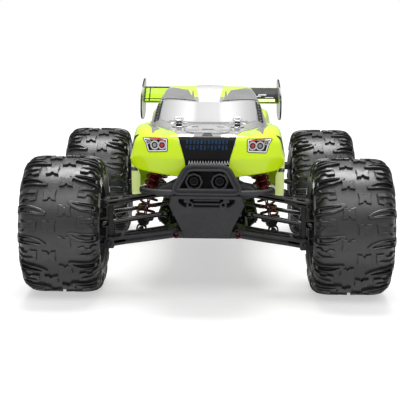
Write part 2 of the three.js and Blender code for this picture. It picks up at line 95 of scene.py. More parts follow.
# Each area light: name, place, target, size and power.
LIGHTS = [
    ("key_top", (0.0, 0.3, 1.6), (0.0, 0.0, 0.0), (1.1, 0.7), 24.0),
    ("fill_front", (0.1, -1.05, 1.3), (0.0, -0.1, 0.1), (1.6, 0.7), 9.0),
]
FLOOR_SIZE = 40.0


def add_camera():
    data = bpy.data.cameras.new("camera")
    data.sensor_width = CAMERA_SENSOR
    data.lens = CAMERA_LENS
    data.clip_start, data.clip_end = CAMERA_CLIP
    camera = bpy.data.objects.new("camera", data)
    camera.location = CAMERA_PLACE
    aim = Matrix.Rotation(CAMERA_TURN, 3, "Z") @ Matrix.Rotation(CAMERA_TILT, 3, "X")
    camera.rotation_euler = (aim @ Matrix.Rotation(CAMERA_ROLL, 3, "Z")).to_euler()
    bpy.context.scene.collection.objects.link(camera)
    bpy.context.scene.camera = camera


def add_area_light(name, place, target, size, power):
    data = bpy.data.lights.new(name, "AREA")
    data.shape = "RECTANGLE"
    data.size, data.size_y = size
    data.energy = power
    light = bpy.data.objects.new(name, data)
    light.location = place
    direction = Vector(target) - Vector(place)
    light.rotation_euler = direction.to_track_quat("-Z", "Y").to_euler()
    bpy.context.scene.collection.objects.link(light)


def light_studio():
    """A white world that is seen brighter than it lights, and the area lights."""
    world = bpy.data.worlds.new("studio")
    world.use_nodes = True
    tree = world.node_tree
    seen = tree.nodes["Background"]
    set_inputs(seen, Color=WHITE, Strength=1.0)
    lit = new_node(tree, "Background", Color=WHITE, Strength=WORLD_LIGHT)
    path = new_node(tree, "LightPath")
    choice = new_node(tree, "MixShader")
    link(tree, path.outputs["Is Camera Ray"], choice.inputs["Fac"])
    link(tree, lit.outputs["Background"], choice.inputs[1])
    link(tree, seen.outputs["Background"], choice.inputs[2])
    link(tree, choice.outputs["Shader"], tree.nodes["World Output"].inputs["Surface"])
    scene = bpy.context.scene
    scene.world = world
    scene.view_settings.view_transform = "Standard"
    scene.view_settings.look = "None"
    for row in LIGHTS:
        add_area_light(*row)


def add_floor(material):
    bpy.ops.mesh.primitive_plane_add(size=FLOOR_SIZE, location=(0.0, 0.0, 0.0))
    floor = bpy.context.active_object
    floor.name = "studio_floor"
    floor.data.materials.append(material)


# ---------------------------------------------------------------- materials


def set_inputs(node, **sockets):
    """Input values by name, with _ for a space."""
    for socket, value in sockets.items():
        node.inputs[socket.replace("_", " ")].default_value = value


def new_node(tree, kind, **sockets):
    node = tree.nodes.new("ShaderNode" + kind)
    set_inputs(node, **sockets)
    return node


def link(tree, start, end):
    tree.links.new(start, end)


def shader(name, **sockets):
    material = bpy.data.materials.new(name)
    material.use_nodes = True
    principled = material.node_tree.nodes["Principled BSDF"]
    set_inputs(principled, **sockets)
    return material, material.node_tree, principled


def object_coordinates(tree, scale=1.0):
    coordinates = new_node(tree, "TexCoord")
    mapping = new_node(tree, "Mapping", Scale=(scale, scale, scale))
    link(tree, coordinates.outputs["Object"], mapping.inputs["Vector"])
    return mapping.outputs["Vector"]


def noise(tree, scale, detail, roughness=0.55):
    node = new_node(tree, "TexNoise", Scale=scale, Detail=detail, Roughness=roughness)
    link(tree, object_coordinates(tree), node.inputs["Vector"])
    return node.outputs["Fac"]


def ramp(tree, factor, stops):
    node = new_node(tree, "ValToRGB")
    elements = node.color_ramp.elements
    for index, (position, colour) in enumerate(stops):
        element = elements[index] if index < 2 else elements.new(position)
        element.position = position
        element.color = (*colour, 1.0)
    link(tree, factor, node.inputs["Fac"])
    return node.outputs["Color"]


def spread(tree, factor, low, high):
    """The middle of a noise's range spread from one value to another."""
    node = new_node(tree, "MapRange", From_Min=0.3, From_Max=0.7, To_Min=low, To_Max=high)
    link(tree, factor, node.inputs["Value"])
    return node.outputs["Result"]


def bump(tree, principled, factor, strength, distance):
    node = new_node(tree, "Bump", Strength=strength, Distance=distance)
    link(tree, factor, node.inputs["Height"])
    link(tree, node.outputs["Normal"], principled.inputs["Normal"])


def mottle(tree, principled, cloud, stops):
    """Base colour that drifts between stops, by a noise of a scale and a detail."""
    link(tree, ramp(tree, noise(tree, *cloud), stops), principled.inputs["Base Color"])


def uneven_gloss(tree, principled, grain, rough):
    link(tree, spread(tree, noise(tree, *grain), *rough), principled.inputs["Roughness"])


def moulded(name, dark, light, rough, grain=1400.0, depth=0.12, coat=0.0):
    """Moulded plastic: mottled colour, uneven gloss and a fine grain."""
    material, tree, principled = shader(name, Coat_Weight=coat, Coat_Roughness=0.12)
    mottle(tree, principled, (45.0, 5.0), [(0.3, dark), (0.7, light)])
    uneven_gloss(tree, principled, (120.0, 6.0), rough)
    bump(tree, principled, noise(tree, grain, 3.0), depth, 0.0004)
    return material


def metal(name, dark, light, rough, metallic=1.0, coat=0.0):
    """Metal: slightly mottled colour and fine machining variation in its gloss."""
    material, tree, principled = shader(name, Metallic=metallic, Coat_Weight=coat)
    mottle(tree, principled, (60.0, 4.0), [(0.3, dark), (0.7, light)])
    uneven_gloss(tree, principled, (260.0, 6.0), rough)
    bump(tree, principled, noise(tree, 900.0, 2.0), 0.05, 0.0002)
    return material


def painted(name, dark, light, rough, coat=1.0, scale=14.0, metallic=0.0, glow=0.0):
    """Clear polycarbonate with paint behind it: a glossy coat over slowly varying colour. A glow, where
    given, is painted light: the part shines though it is no lamp.
    """
    material, tree, principled = shader(
        name, Coat_Weight=coat, Coat_Roughness=0.06, Metallic=metallic, Emission_Color=(*light, 1.0),
        Emission_Strength=glow, Specular_IOR_Level=0.1 + 0.4 * coat,
    )
    mottle(tree, principled, (scale, 3.0), [(0.3, dark), (0.7, light)])
    uneven_gloss(tree, principled, (90.0, 4.0), rough)
    bump(tree, principled, noise(tree, 26.0, 2.0), 0.03, 0.0006)
    return material


def banded(name, stops, reach, rough):
    """Mirror-like film whose brightness changes across the truck, from -reach to +reach along X."""
    material, tree, principled = shader(name, Coat_Weight=0.9, Coat_Roughness=0.05, Metallic=0.3)
    parts = new_node(tree, "SeparateXYZ")
    link(tree, object_coordinates(tree), parts.inputs["Vector"])
    place = new_node(tree, "MapRange", From_Min=-reach, From_Max=reach)
    link(tree, parts.outputs["X"], place.inputs["Value"])
    link(tree, ramp(tree, place.outputs["Result"], stops), principled.inputs["Base Color"])
    uneven_gloss(tree, principled, (30.0, 3.0), rough)
    return material


PAPER_SCALE = 0.5  # the glow grows between 0.6 and 1.4 m out
PAPER_GLOW = (0.50, 0.72)
PAPER_BOUNCE = 0.2


def studio_paper():
    """White paper whose own glow grows with distance, so that it meets the white world unseen."""
    material, tree, principled = shader("studio_paper", Roughness=0.6, Emission_Color=WHITE)
    mottle(tree, principled, (6.0, 3.0), [(0.3, grey(0.57)), (0.7, grey(0.59))])
    away = new_node(tree, "VectorMath")
    away.operation = "LENGTH"
    link(tree, object_coordinates(tree, PAPER_SCALE), away.inputs[0])
    path = new_node(tree, "LightPath")
    seen = new_node(tree, "Math")
    seen.operation = "MULTIPLY"
    link(tree, path.outputs["Is Camera Ray"], seen.inputs[0])
    link(tree, spread(tree, away.outputs["Value"], *PAPER_GLOW), seen.inputs[1])
    glow = new_node(tree, "Math")
    glow.operation = "MAXIMUM"
    glow.inputs[1].default_value = PAPER_BOUNCE
    link(tree, seen.outputs["Value"], glow.inputs[0])
    link(tree, glow.outputs["Value"], principled.inputs["Emission Strength"])
    return material


def grey(value):
    return (value, value, value)


# Bright bands and grey edges across the windscreen: painted reflections of the studio.
SCREEN_REFLECTIONS = [(0.02, grey(0.46)), (0.12, grey(0.62)), (0.22, grey(0.8)), (0.31, grey(1.0)),
                (0.38, grey(0.66)), (0.6, grey(0.72)), (0.66, grey(1.0)), (0.78, grey(0.8)),
                (0.88, grey(0.58)), (0.98, grey(0.44))]
HOOD_BANDS = [(0.0, grey(0.22)), (0.2, grey(0.62)), (0.36, grey(0.42)), (0.5, grey(0.5)),
              (0.64, grey(0.42)), (0.8, grey(0.6)), (1.0, grey(0.22))]


def tyre_rubber():
    """Black rubber with a dull sheen."""
    material, tree, principled = shader(
        "tyre_rubber", Specular_IOR_Level=0.6, Coat_Weight=0.6, Coat_Roughness=0.34
    )
    mottle(tree, principled, (38.0, 6.0), [(0.28, (0.005, 0.005, 0.0055)), (0.72, (0.015, 0.015, 0.016))])
    uneven_gloss(tree, principled, (160.0, 6.0), (0.3, 0.44))
    bump(tree, principled, noise(tree, 900.0, 4.0, 0.7), 0.25, 0.0005)
    return material


def make_materials():
    return {
        "floor": studio_paper(),
        "rubber": tyre_rubber(),
        "black_nylon": moulded("black_nylon", (0.012, 0.012, 0.013), (0.026, 0.026, 0.028), (0.38, 0.55)),
        "grey_nylon": moulded("grey_nylon", (0.020, 0.020, 0.023), (0.034, 0.034, 0.038), (0.42, 0.6),
                              1100.0, 0.3),
        "gloss_black": moulded("gloss_black", (0.006, 0.006, 0.007), (0.014, 0.014, 0.016), (0.12, 0.25),
                               coat=0.6),
        "black_steel": metal("black_steel", (0.03, 0.03, 0.033), (0.07, 0.07, 0.075), (0.18, 0.34)),
        "red_metal": metal("red_metal", (0.15, 0.012, 0.022), (0.28, 0.032, 0.052), (0.2, 0.38), 0.75, 0.4),
        "bright_steel": metal("bright_steel", (0.55, 0.55, 0.57), (0.75, 0.75, 0.77), (0.12, 0.25)),
        "brass": metal("brass", (0.45, 0.32, 0.12), (0.6, 0.46, 0.2), (0.25, 0.4)),
        # The lime paint glows a little: painted light, as if light came through the shell.
        "lime": painted("lime_paint", (0.62, 0.88, 0.0), (0.67, 0.93, 0.0), (0.34, 0.5), 0.7, 14.0, 0.0,
                        0.05),
        # A darker copy of the lime for the wing: painted shade that offsets the overhead light on its upper
        # face.
        "lime_shaded": painted("lime_shaded", (0.38, 0.62, 0.0), (0.42, 0.67, 0.0), (0.34, 0.5), 0.1),
        # A paler lime that glows: painted light, as if the thin edges were lit through from behind.
        "lime_painted_glow": painted("lime_painted_glow", (0.66, 0.82, 0.26), (0.72, 0.86, 0.32), (0.3, 0.45), 0.2, 14.0,
                             0.0, 0.5),
        "silver": painted("silver_paint", (0.30, 0.30, 0.31), (0.46, 0.46, 0.47), (0.2, 0.34), 0.8, 20.0,
                          0.7),
        # A dull, darker silver: painted shade for the middle of the nose, between the painted highlights.
        "silver_shaded": painted("silver_shaded", (0.19, 0.19, 0.195), (0.27, 0.27, 0.275), (0.35, 0.5), 0.1,
                               20.0),
        "silver_light": painted("silver_light", (0.62, 0.62, 0.63), (0.78, 0.78, 0.79), (0.16, 0.3), 0.8,
                                20.0, 0.6),
        # The windscreen film carries painted reflections.
        "screen": banded("screen_film", SCREEN_REFLECTIONS, 0.055, (0.12, 0.2)),
        "hood": banded("hood_film", HOOD_BANDS, 0.06, (0.2, 0.3)),
        "shell_black": painted("shell_black", (0.003, 0.003, 0.004), (0.008, 0.008, 0.009), (0.35, 0.5),
                               0.08),
        # Dead black for places in shade: painted shade.
        "painted_shade": moulded("deep_shade", (0.003, 0.003, 0.003), (0.006, 0.006, 0.006), (0.8, 0.95), 600.0,
                        0.02),
        "clear": painted("clear_plate", (0.72, 0.74, 0.73), (0.84, 0.86, 0.85), (0.12, 0.2), 0.7, 30.0),
        "white": painted("white_paint", (0.80, 0.80, 0.80), (0.9, 0.9, 0.9), (0.25, 0.4)),
        "blue": painted("blue_ink", (0.002, 0.018, 0.055), (0.006, 0.055, 0.13), (0.3, 0.5), 0.2, 260.0),
        "red": painted("red_ink", (0.45, 0.02, 0.03), (0.6, 0.05, 0.06), (0.3, 0.5), 0.4, 60.0),
        "battery": painted("battery_wrap", (0.02, 0.07, 0.2), (0.03, 0.1, 0.28), (0.2, 0.4), 0.6, 40.0),
    }


MATERIALS = {}
SLOT_FINISH = {
    "tyre_rubber": "rubber",
    "black_nylon": "black_nylon",
    "grey_nylon": "grey_nylon",
    "black_steel": "black_steel",
    "red_metal": "red_metal",
    "bright_steel": "bright_steel",
    "shell": "lime",
    "wing": "lime_shaded",
    # The wing takes the darker lime: painted shade.
    "battery_wrap": "battery",
    "brass": "brass",
}


def finish_cad_nodes():
    slots = {row["node"]: row["material_slot"] for row in frame["record"]["subparts"]}
    for name, node in frame["nodes"].items():
        node.data.materials.clear()
        node.data.materials.append(MATERIALS[SLOT_FINISH[slots[name]]])


# ---------------------------------------------------------------- shapes, drawn in millimetres


class Shape:
    """Points and faces gathered from several solids, which become one piece."""

    def __init__(self):
        self.points = []
        self.faces = []

    def add(self, solid, place=None):
        points, faces = solid
        base = len(self.points)
        matrix = place if place else Matrix.Identity(4)
        self.points.extend(matrix @ Vector(point) for point in points)
        flipped = matrix.determinant() < 0
        for face in faces:
            row = [base + index for index in face]
            self.faces.append(row[::-1] if flipped else row)
        return self

    def piece(self, name, finish, body, slot, sharp=32, replaced=()):
        """One object, with the body it rides with, its sharp angle and the nodes it replaces. The slot is
        not used.
        """
        mesh = bpy.data.meshes.new(name)
        mesh.from_pydata([point * MM for point in self.points], [], self.faces)
        mesh.update()
        mesh.polygons.foreach_set("use_smooth", [True] * len(mesh.polygons))
        mesh.set_sharp_from_angle(angle=math.radians(sharp))
        mesh.materials.append(MATERIALS[finish])
        made = bpy.data.objects.new(name, mesh)
        bpy.context.scene.collection.objects.link(made)
        if body:
            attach(made, body)
        if replaced:
            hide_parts(*replaced)
        return made


def polar(radius, angle):
    return radius * math.cos(angle), radius * math.sin(angle)


LAID = Matrix.Rotation(math.radians(90), 4, "Y")  # turns a profile about Z into one about X
CROSSWISE = Matrix.Rotation(math.radians(-90), 4, "X")  # turns a profile about Z into one about Y
MINUS_Y = Matrix.Rotation(math.radians(90), 4, "X")  # the same, but pointing along -Y
UPSIDE_DOWN = Matrix.Rotation(math.radians(180), 4, "X")


def at(x, y, z):
    return Matrix.Translation((x, y, z))


def aimed(place, direction):
    """A frame at a place whose own Z points along a direction."""
    turn = Vector(direction).normalized().to_track_quat("Z", "Y").to_matrix().to_4x4()
    return Matrix.Translation(place) @ turn


def ring_quads(count, rings, closed=True):
    """Quads between rings of points. Each ring closes on itself, or else is an open row."""
    faces = []
    span = count if closed else count - 1
    for ring in range(rings - 1):
        for index in range(span):
            after = (index + 1) % count
            low, high = ring * count, (ring + 1) * count
            faces.append([low + index, low + after, high + after, high + index])
    return faces


def closing_quads(count, rings):
    """Quads from the last ring back to the first."""
    last = (rings - 1) * count
    faces = []
    for index in range(count):
        after = (index + 1) % count
        faces.append([last + index, last + after, after, index])
    return faces


def turned(profile, steps, loop=False):
    """A profile of (radius, height) points turned about Z. A loop profile closes on itself."""
    points = []
    for radius, height in profile:
        for step in range(steps):
            points.append((*polar(radius, 2 * math.pi * step / steps), height))
    faces = ring_quads(steps, len(profile))
    if loop:
        return points, faces + closing_quads(steps, len(profile))
    if profile[0][0] > 0:
        faces.append(list(range(steps))[::-1])
    if profile[-1][0] > 0:
        last = (len(profile) - 1) * steps
        faces.append([last + index for index in range(steps)])
    return points, faces


def rounded_rod(radius, low, high, soft, steps=20):
    profile = [
        (radius - soft, low),
        (radius - soft * 0.3, low + soft * 0.3),
        (radius, low + soft),
        (radius, high - soft),
        (radius - soft * 0.3, high - soft * 0.3),
        (radius - soft, high),
    ]
    return turned(profile, steps)


def swept(path, radius, sides, closed=False):
    """A round tube along a path."""
    path = [Vector(point) for point in path]
    count = len(path)
    points = []
    normal = None
    for index, point in enumerate(path):
        before = path[index - 1] if index or closed else point
        after = path[(index + 1) % count] if index < count - 1 or closed else point
        along = (after - before).normalized()
        if normal is None:
            normal = along.orthogonal().normalized()
        normal = (normal - along * normal.dot(along)).normalized()
        side = along.cross(normal)
        for step in range(sides):
            angle = 2 * math.pi * step / sides
            points.append(point + radius * (math.cos(angle) * normal + math.sin(angle) * side))
    faces = ring_quads(sides, count)
    if closed:
        return points, faces + closing_quads(sides, count)
    faces.append(list(range(sides))[::-1])
    faces.append([(count - 1) * sides + step for step in range(sides)])
    return points, faces


def smooth_path(corners, radius, steps, closed=False):
    """A polyline with each corner rounded."""
    corners = [Vector(corner) for corner in corners]
    count = len(corners)
    path = []
    for index, corner in enumerate(corners):
        if not closed and index in (0, count - 1):
            path.append(corner)
            continue
        before, after = corners[index - 1], corners[(index + 1) % count]
        reach = min(radius, (before - corner).length * 0.48, (after - corner).length * 0.48)
        start = corner + (before - corner).normalized() * reach
        end = corner + (after - corner).normalized() * reach
        for step in range(steps + 1):
            t = step / steps
            path.append(start * (1 - t) ** 2 + corner * 2 * t * (1 - t) + end * t * t)
    return path


def signed_area(outline):
    return sum(a[0] * b[1] - b[0] * a[1] for a, b in zip(outline, outline[1:] + outline[:1])) / 2


def inset(outline, amount):
    """A counterclockwise outline moved inward by an amount, with mitred corners."""
    count = len(outline)
    moved = []
    for index in range(count):
        here = Vector(outline[index])
        before = (here - Vector(outline[index - 1])).normalized()
        after = (Vector(outline[(index + 1) % count]) - here).normalized()
        normal = Vector((-before.y - after.y, before.x + after.x))
        scale = max(normal.length_squared / 2, 0.5)
        moved.append(tuple(here + normal * (amount / scale)))
    return moved


def refined(outline, longest):
    """An outline with extra points so that no edge is longer than a length."""
    points = []
    for here, after in zip(outline, outline[1:] + outline[:1]):
        parts = max(1, math.ceil(math.dist(here, after) / longest))
        for part in range(parts):
            t = part / parts
            points.append((here[0] + (after[0] - here[0]) * t, here[1] + (after[1] - here[1]) * t))
    return points


def rounded_outline(corners, radius, steps):
    path = smooth_path([(*corner, 0) for corner in corners], radius, steps, closed=True)
    return [(point.x, point.y) for point in path]


def rectangle(x0, y0, x1, y1):
    return [(x0, y0), (x1, y0), (x1, y1), (x0, y1)]


def slab(outline, low, high, soft, holes=()):
    """A flat plate between two heights, with softened rims, from a plan outline with holes."""
    loops = []
    for index, loop in enumerate([outline, *holes]):
        anticlockwise = signed_area(loop) > 0
        loops.append(list(loop) if anticlockwise == (index == 0) else list(loop)[::-1])
    levels = [(soft, low), (0, low + soft), (0, high - soft), (soft, high)]
    points = []
    faces = []
    caps = {0: [], 3: []}
    for loop in loops:
        base = len(points)
        count = len(loop)
        for level, (shrink, height) in enumerate(levels):
            ring = inset(loop, shrink) if shrink else loop
            points.extend((x, y, height) for x, y in ring)
            if level in caps:
                caps[level].append((base + level * count, ring))
        faces.extend([[base + index for index in face] for face in ring_quads(count, 4)])
    for level, rings in caps.items():
        flat = [Vector((*point, 0)) for start, ring in rings for point in ring]
        names = [start + step for start, ring in rings for step in range(len(ring))]
        polylines = [[Vector((*point, 0)) for point in ring] for start, ring in rings]
        for triangle in geometry.tessellate_polygon(polylines):
            a, b, c = (flat[index] for index in triangle)
            up = (b - a).cross(c - a).z > 0
            row = [names[index] for index in triangle]
            faces.append(row if up == (level == 3) else row[::-1])
    return points, faces


def block(low, high, soft):
    (x0, y0, z0), (x1, y1, z1) = low, high
    return slab(rectangle(x0, y0, x1, y1), z0, z1, soft)


def hex_socket_screw(radius, height):
    """A button-head screw with a hexagonal recess, standing on the plane Z = 0."""
    hexagon = [polar(radius * 0.5, math.radians(30 + 60 * step)) for step in range(6)]
    outline = [polar(radius, math.radians(30 + 20 * step)) for step in range(18)]
    points, faces = slab(outline, -0.4, height, radius * 0.22, [hexagon])
    base = len(points)
    points = points + [(x, y, height * 0.35) for x, y in hexagon]
    faces = faces + [[base + step for step in range(6)]]
    return points, faces


def mirrored(side):
    """The mirror image across the middle for side -1, and no change for side 1."""
    return Matrix.Diagonal((side, 1, 1, 1))


# ---------------------------------------------------------------- tyres

TYRE_PITCHES = 14
TREAD_CELL = 4.0
TREAD_SOFT = 0.55
TREAD_CIRCUMFERENCE = 2 * math.pi * AXLE_Z
CARCASS = [
    (0, 72.3), (12, 72.2), (22, 71.7), (29, 70.9), (33.4, 69.7), (36.2, 67.8), (38.6, 64.8), (40.4, 60.5),
    (41.8, 56), (41.9, 53), (40.6, 50.5), (38.6, 49.2), (36.6, 48.2),
]


def carcass_arc():
    """Distance along the carcass from the centre line, with the place and outward normal there."""
    rows = []
    travelled = 0.0
    for index, (across, radius) in enumerate(CARCASS):
        if index:
            travelled += math.dist(CARCASS[index - 1], (across, radius))
        before = CARCASS[max(index - 1, 0)]
        after = CARCASS[min(index + 1, len(CARCASS) - 1)]
        along = Vector((after[0] - before[0], after[1] - before[1])).normalized()
        rows.append((travelled, across, radius, -along.y, along.x))
    return np.array(rows)


ARC = carcass_arc()


def on_tyre(s, v, height):
    """The point at arc distance s across, v around and a height above the carcass, wheel axis X."""
    across, radius, normal_x, normal_r = (np.interp(abs(s), ARC[:, 0], ARC[:, k]) for k in (1, 2, 3, 4))
    taper = np.interp(abs(s), SHOULDER_TAPER[0], SHOULDER_TAPER[1]) if height > 0 else 1.0
    scale = height * taper / math.hypot(normal_x, normal_r)
    across += normal_x * scale
    radius += normal_r * scale
    angle = v * 2 * math.pi / TREAD_CIRCUMFERENCE
    return Vector((math.copysign(across, s), radius * math.cos(angle), radius * math.sin(angle)))


# One pitch of the tread, as (distance across, distance around) outlines on the unrolled carcass.
EYELID = [(52, 0.4), (44, -0.4), (34, -0.4), (24, 1.4), (16, 4.6), (11, 8.4), (11.6, 10.8), (15, 11.4),
          (24, 10.2), (34, 9.2), (44, 8.8), (52, 8)]
EYELID_SLOT = [(37.4, 2.4), (30, 2.6), (22, 4.4), (16, 7.8), (16.8, 8.8), (24, 7.6), (31, 6.6), (37.4, 6.4)]
EYELID_DIMPLE = rectangle(46, 2.6, 40.4, 6.2)
SHOULDER_BOW = [(44, 0.6), (37, 0), (35.2, 3.2), (31, 3.6), (28.6, 0.2), (20.6, 0.8), (22, 12.4),
                (28.2, 13.6), (30.2, 10.8), (34.6, 10.4), (36.6, 13.6), (44, 12.8)]
CENTRE_BOW = [(0.2, 0), (5.6, 1), (6.8, 3.4), (8, 3.4), (9, 1), (14.6, 0), (13.2, 6.4), (14, 12.6),
              (9, 11.6), (8, 9.4), (6.6, 9.4), (5.4, 11.6), (0.6, 12.8), (1.4, 6.2)]
EYELID_SHIFT = 7.0
SHOULDER_TAPER = ((0, 12, 24, 38, 50), (0.7, 0.7, 0.85, 0.95, 0.4))


def pitch_blocks():
    """(outline, height, holes) for each block of one pitch, both sides of the centre line."""
    blocks = []
    for side, shift, centre in ((1, 0, 16.4), (-1, EYELID_SHIFT, -5.2)):

        def placed(outline, across=0, around=0):
            return [(side * (across + x), shift + side * (around + y)) for x, y in outline]

        blocks.append((placed(EYELID), 3.7, [placed(EYELID_SLOT), placed(EYELID_DIMPLE)]))
        blocks.append((placed(SHOULDER_BOW, 0, 15.8), 3, []))
        blocks.append((placed(CENTRE_BOW, 0.8, centre), 3.6, []))
    return blocks


def tyre_shape():
    tyre = Shape()
    profile = [(radius, across) for across, radius in CARCASS[::-1]]
    inner = [(47.4, 35), (46.6, 33), (52, 30), (66, 26), (68.5, 0)]
    half = profile + [(radius, -across) for radius, across in profile[-2::-1]]
    back = [(radius, -across) for radius, across in inner] + inner[-2::-1]
    tyre.add(turned(half + back, 120, loop=True), LAID)
    for ring_radius, reach in ((57.4, 42.2), (53.8, 42.6)):
        rib = [(ring_radius - 0.8, reach - 1.2), (ring_radius - 0.5, reach), (ring_radius + 0.5, reach),
               (ring_radius + 0.8, reach - 1.2)]
        for side in (-1, 1):
            mirrored_rib = [(radius, side * height) for radius, height in rib]
            tyre.add(turned(mirrored_rib[::-side], 96, loop=True), LAID)
    pitch = TREAD_CIRCUMFERENCE / TYRE_PITCHES
    for outline, height, holes in pitch_blocks():
        fine_holes = [refined(hole, TREAD_CELL) for hole in holes]
        points, faces = slab(refined(outline, TREAD_CELL), -1, height, TREAD_SOFT, fine_holes)
        for turn in range(TYRE_PITCHES):
            placed = [on_tyre(x, y + turn * pitch, z) for x, y, z in points]
            tyre.add((placed, [face[::-1] for face in faces]))
    return tyre


def wheel_frame(corner):
    """The frame at a wheel's centre whose X runs outwards."""
    side, end = CORNERS[corner]
    return at(side * HALF_TRACK, end * AXLE_Y, AXLE_Z) @ mirrored(side)


def make_tyres():
    tread = tyre_shape()
    for corner in CORNERS:
        placed = Shape().add((tread.points, tread.faces), wheel_frame(corner))
        placed.piece("tyre_tread_" + corner, "rubber", "wheel_" + corner, "tyre_rubber", 28,
                     ["tyre_" + corner])


# ---------------------------------------------------------------- body shell

# Each station: distance along, height of the crown, then roof edge, pillar foot, fender crown,
# shoulder and hem as (half width, height).
SHELL_STATIONS = [
    (-222, 137.5, [(30, 136), (47, 137.8), (62, 139.4), (74, 141.6), (80, 146)]),
    (-226.3, 153.6, [(28, 153.6), (48, 153.9), (62, 154.2), (75.2, 154.4), (81, 151.5)]),
    (-226.5, 156.2, [(28, 156.2), (48, 156.5), (62, 156.8), (75.6, 156.8), (81.2, 152)]),
    (-222, 175, [(34, 174.8), (48, 173.5), (63, 172.2), (76, 167.6), (82.2, 151)]),
    (-215.5, 180, [(35, 179.3), (48, 177.5), (63, 177), (76.6, 171.4), (82.5, 150.6)]),
    (-190, 181.5, [(36, 181), (46, 178.5), (64, 182.8), (77, 178), (83, 151)]),
    (-165, 181.8, [(38, 181.2), (47, 179), (65, 184.8), (78, 180), (84, 152)]),
    (-141, 182.3, [(44, 181.8), (53, 180), (67, 184), (78, 180), (85, 134)]),
    (-119, 187, [(56, 185), (66, 180), (72, 182), (79, 177), (86, 102)]),
    (-85, 199, [(58, 195), (67, 181), (72, 180), (79, 172), (84, 101)]),
    (-50, 209, [(56.5, 205.5), (65, 183), (69, 176), (74, 165), (78, 100)]),
    (-10, 216, [(54, 212), (62, 184), (66, 172), (70, 155), (73, 100)]),
    (35, 217.4, [(51, 214), (60, 184), (65, 170), (69, 152), (72, 100)]),
    (80, 207, [(48, 203), (58, 180), (64, 172), (70, 160), (74, 102)]),
    (115, 188, [(42, 187), (54, 179), (64, 180), (76, 174), (80, 118)]),
    (160, 181, [(38, 181), (50, 177), (65, 181), (79, 175), (84, 150)]),
    (190, 177, [(36, 177), (50, 174), (64, 173), (78, 167), (82, 150)]),
    (196, 152, [(36, 152), (50, 152), (64, 152), (76, 151), (80, 150)]),
]
NOSE_SWEEP = 26.0
NOSE_START = -150
NOSE_LENGTH = 72
NOSE_HALF_WIDTH = 80
NOSE_POWER = 2.6
SHELL_TOP = 217.6
SHELL_WALL = 1.3


def half_section(station):
    """One station's right half, from the crown to the hem, swept back towards the nose's corners."""
    y, crown, line = station
    edge = line[0]
    nose = min(max((NOSE_START - y) / NOSE_LENGTH, 0), 1)
    row = [(0, crown), (edge[0] / 2, (2 * crown + edge[1]) / 3), *line]
    return [(x, y + nose * NOSE_SWEEP * (x / NOSE_HALF_WIDTH) ** NOSE_POWER, z) for x, z in row]


def limited(tangent, chord):
    """A tangent made no longer than the span it serves, so that the curve does not fold."""
    lengths = np.linalg.norm(tangent, axis=-1, keepdims=True)
    spans = np.linalg.norm(chord, axis=-1, keepdims=True)
    return tangent * np.minimum(1, spans / np.maximum(lengths, 1e-9))


def curve_through(rows, steps, tightness=0.8):
    """Rows of points with more rows between them, along cardinal splines."""
    rows = np.array(rows, float)
    made = []
    for index in range(len(rows) - 1):
        before, after = rows[max(index - 1, 0)], rows[min(index + 2, len(rows) - 1)]
        start, end = rows[index], rows[index + 1]
        chord = end - start
        leave = limited((end - before) * 0.5 * tightness, chord)
        arrive = limited((after - start) * 0.5 * tightness, chord)
        for step in range(steps):
            t = step / steps
            made.append(
                (2 * t**3 - 3 * t**2 + 1) * start + (t**3 - 2 * t**2 + t) * leave
                + (3 * t**2 - 2 * t**3) * end + (t**3 - t**2) * arrive
            )
    made.append(rows[-1])
    return np.array(made)


def shell_surface():
    """A grid of shell points, front to back and right to left."""
    sections = [half_section(station) for station in SHELL_STATIONS]
    grid = curve_through(sections, 7)
    columns = curve_through(np.swapaxes(grid, 0, 1), 5, 0.75)
    half = np.swapaxes(columns, 0, 1)
    flipped = half[:, :0:-1] * np.array([-1, 1, 1])
    grid = np.concatenate([flipped, half], axis=1)
    grid[:, :, 2] = np.minimum(grid[:, :, 2], SHELL_TOP)
    return grid


SHELL_ROWS = shell_surface()
SHELL_GRID = (
    [tuple(point) for point in SHELL_ROWS.reshape(-1, 3)],
    ring_quads(SHELL_ROWS.shape[1], SHELL_ROWS.shape[0], closed=False),
)
SHELL_TREE = BVHTree.FromPolygons(*SHELL_GRID)


def make_shell():
    shell = Shape().add(SHELL_GRID).piece("shell_body", "lime", "body_shell", "shell", 30, ["body_shell"])
    thickness = shell.modifiers.new("wall", "SOLIDIFY")
    thickness.thickness = SHELL_WALL * MM
    thickness.offset = -1.0
    make_arch_flanges()


ARCH_BAND = (-143, -141.2, -139.4)  # where the band crosses the lip
LIP_NARROW = 1.5
LIP_GROWTH = 8.0
LIP_START = 152  # the lip widens from this far in front of the middle, over the stretch behind it
LIP_STRETCH = 16


def lip_strip(edge, side):
    """A strip turned inwards from the hem, wider further back along the arch."""
    outer = []
    inner = []
    for x, y, z in edge:
        width = LIP_NARROW + LIP_GROWTH * min(max((y + LIP_START) / LIP_STRETCH, 0), 1)
        outer.append((side * x, y, z))
        inner.append((side * (x - width), y + 1.5, z))
    count = len(edge)
    faces = [[k, k + 1, count + k + 1, count + k] for k in range(count - 1)]
    return outer + inner, faces if side > 0 else [face[::-1] for face in faces]


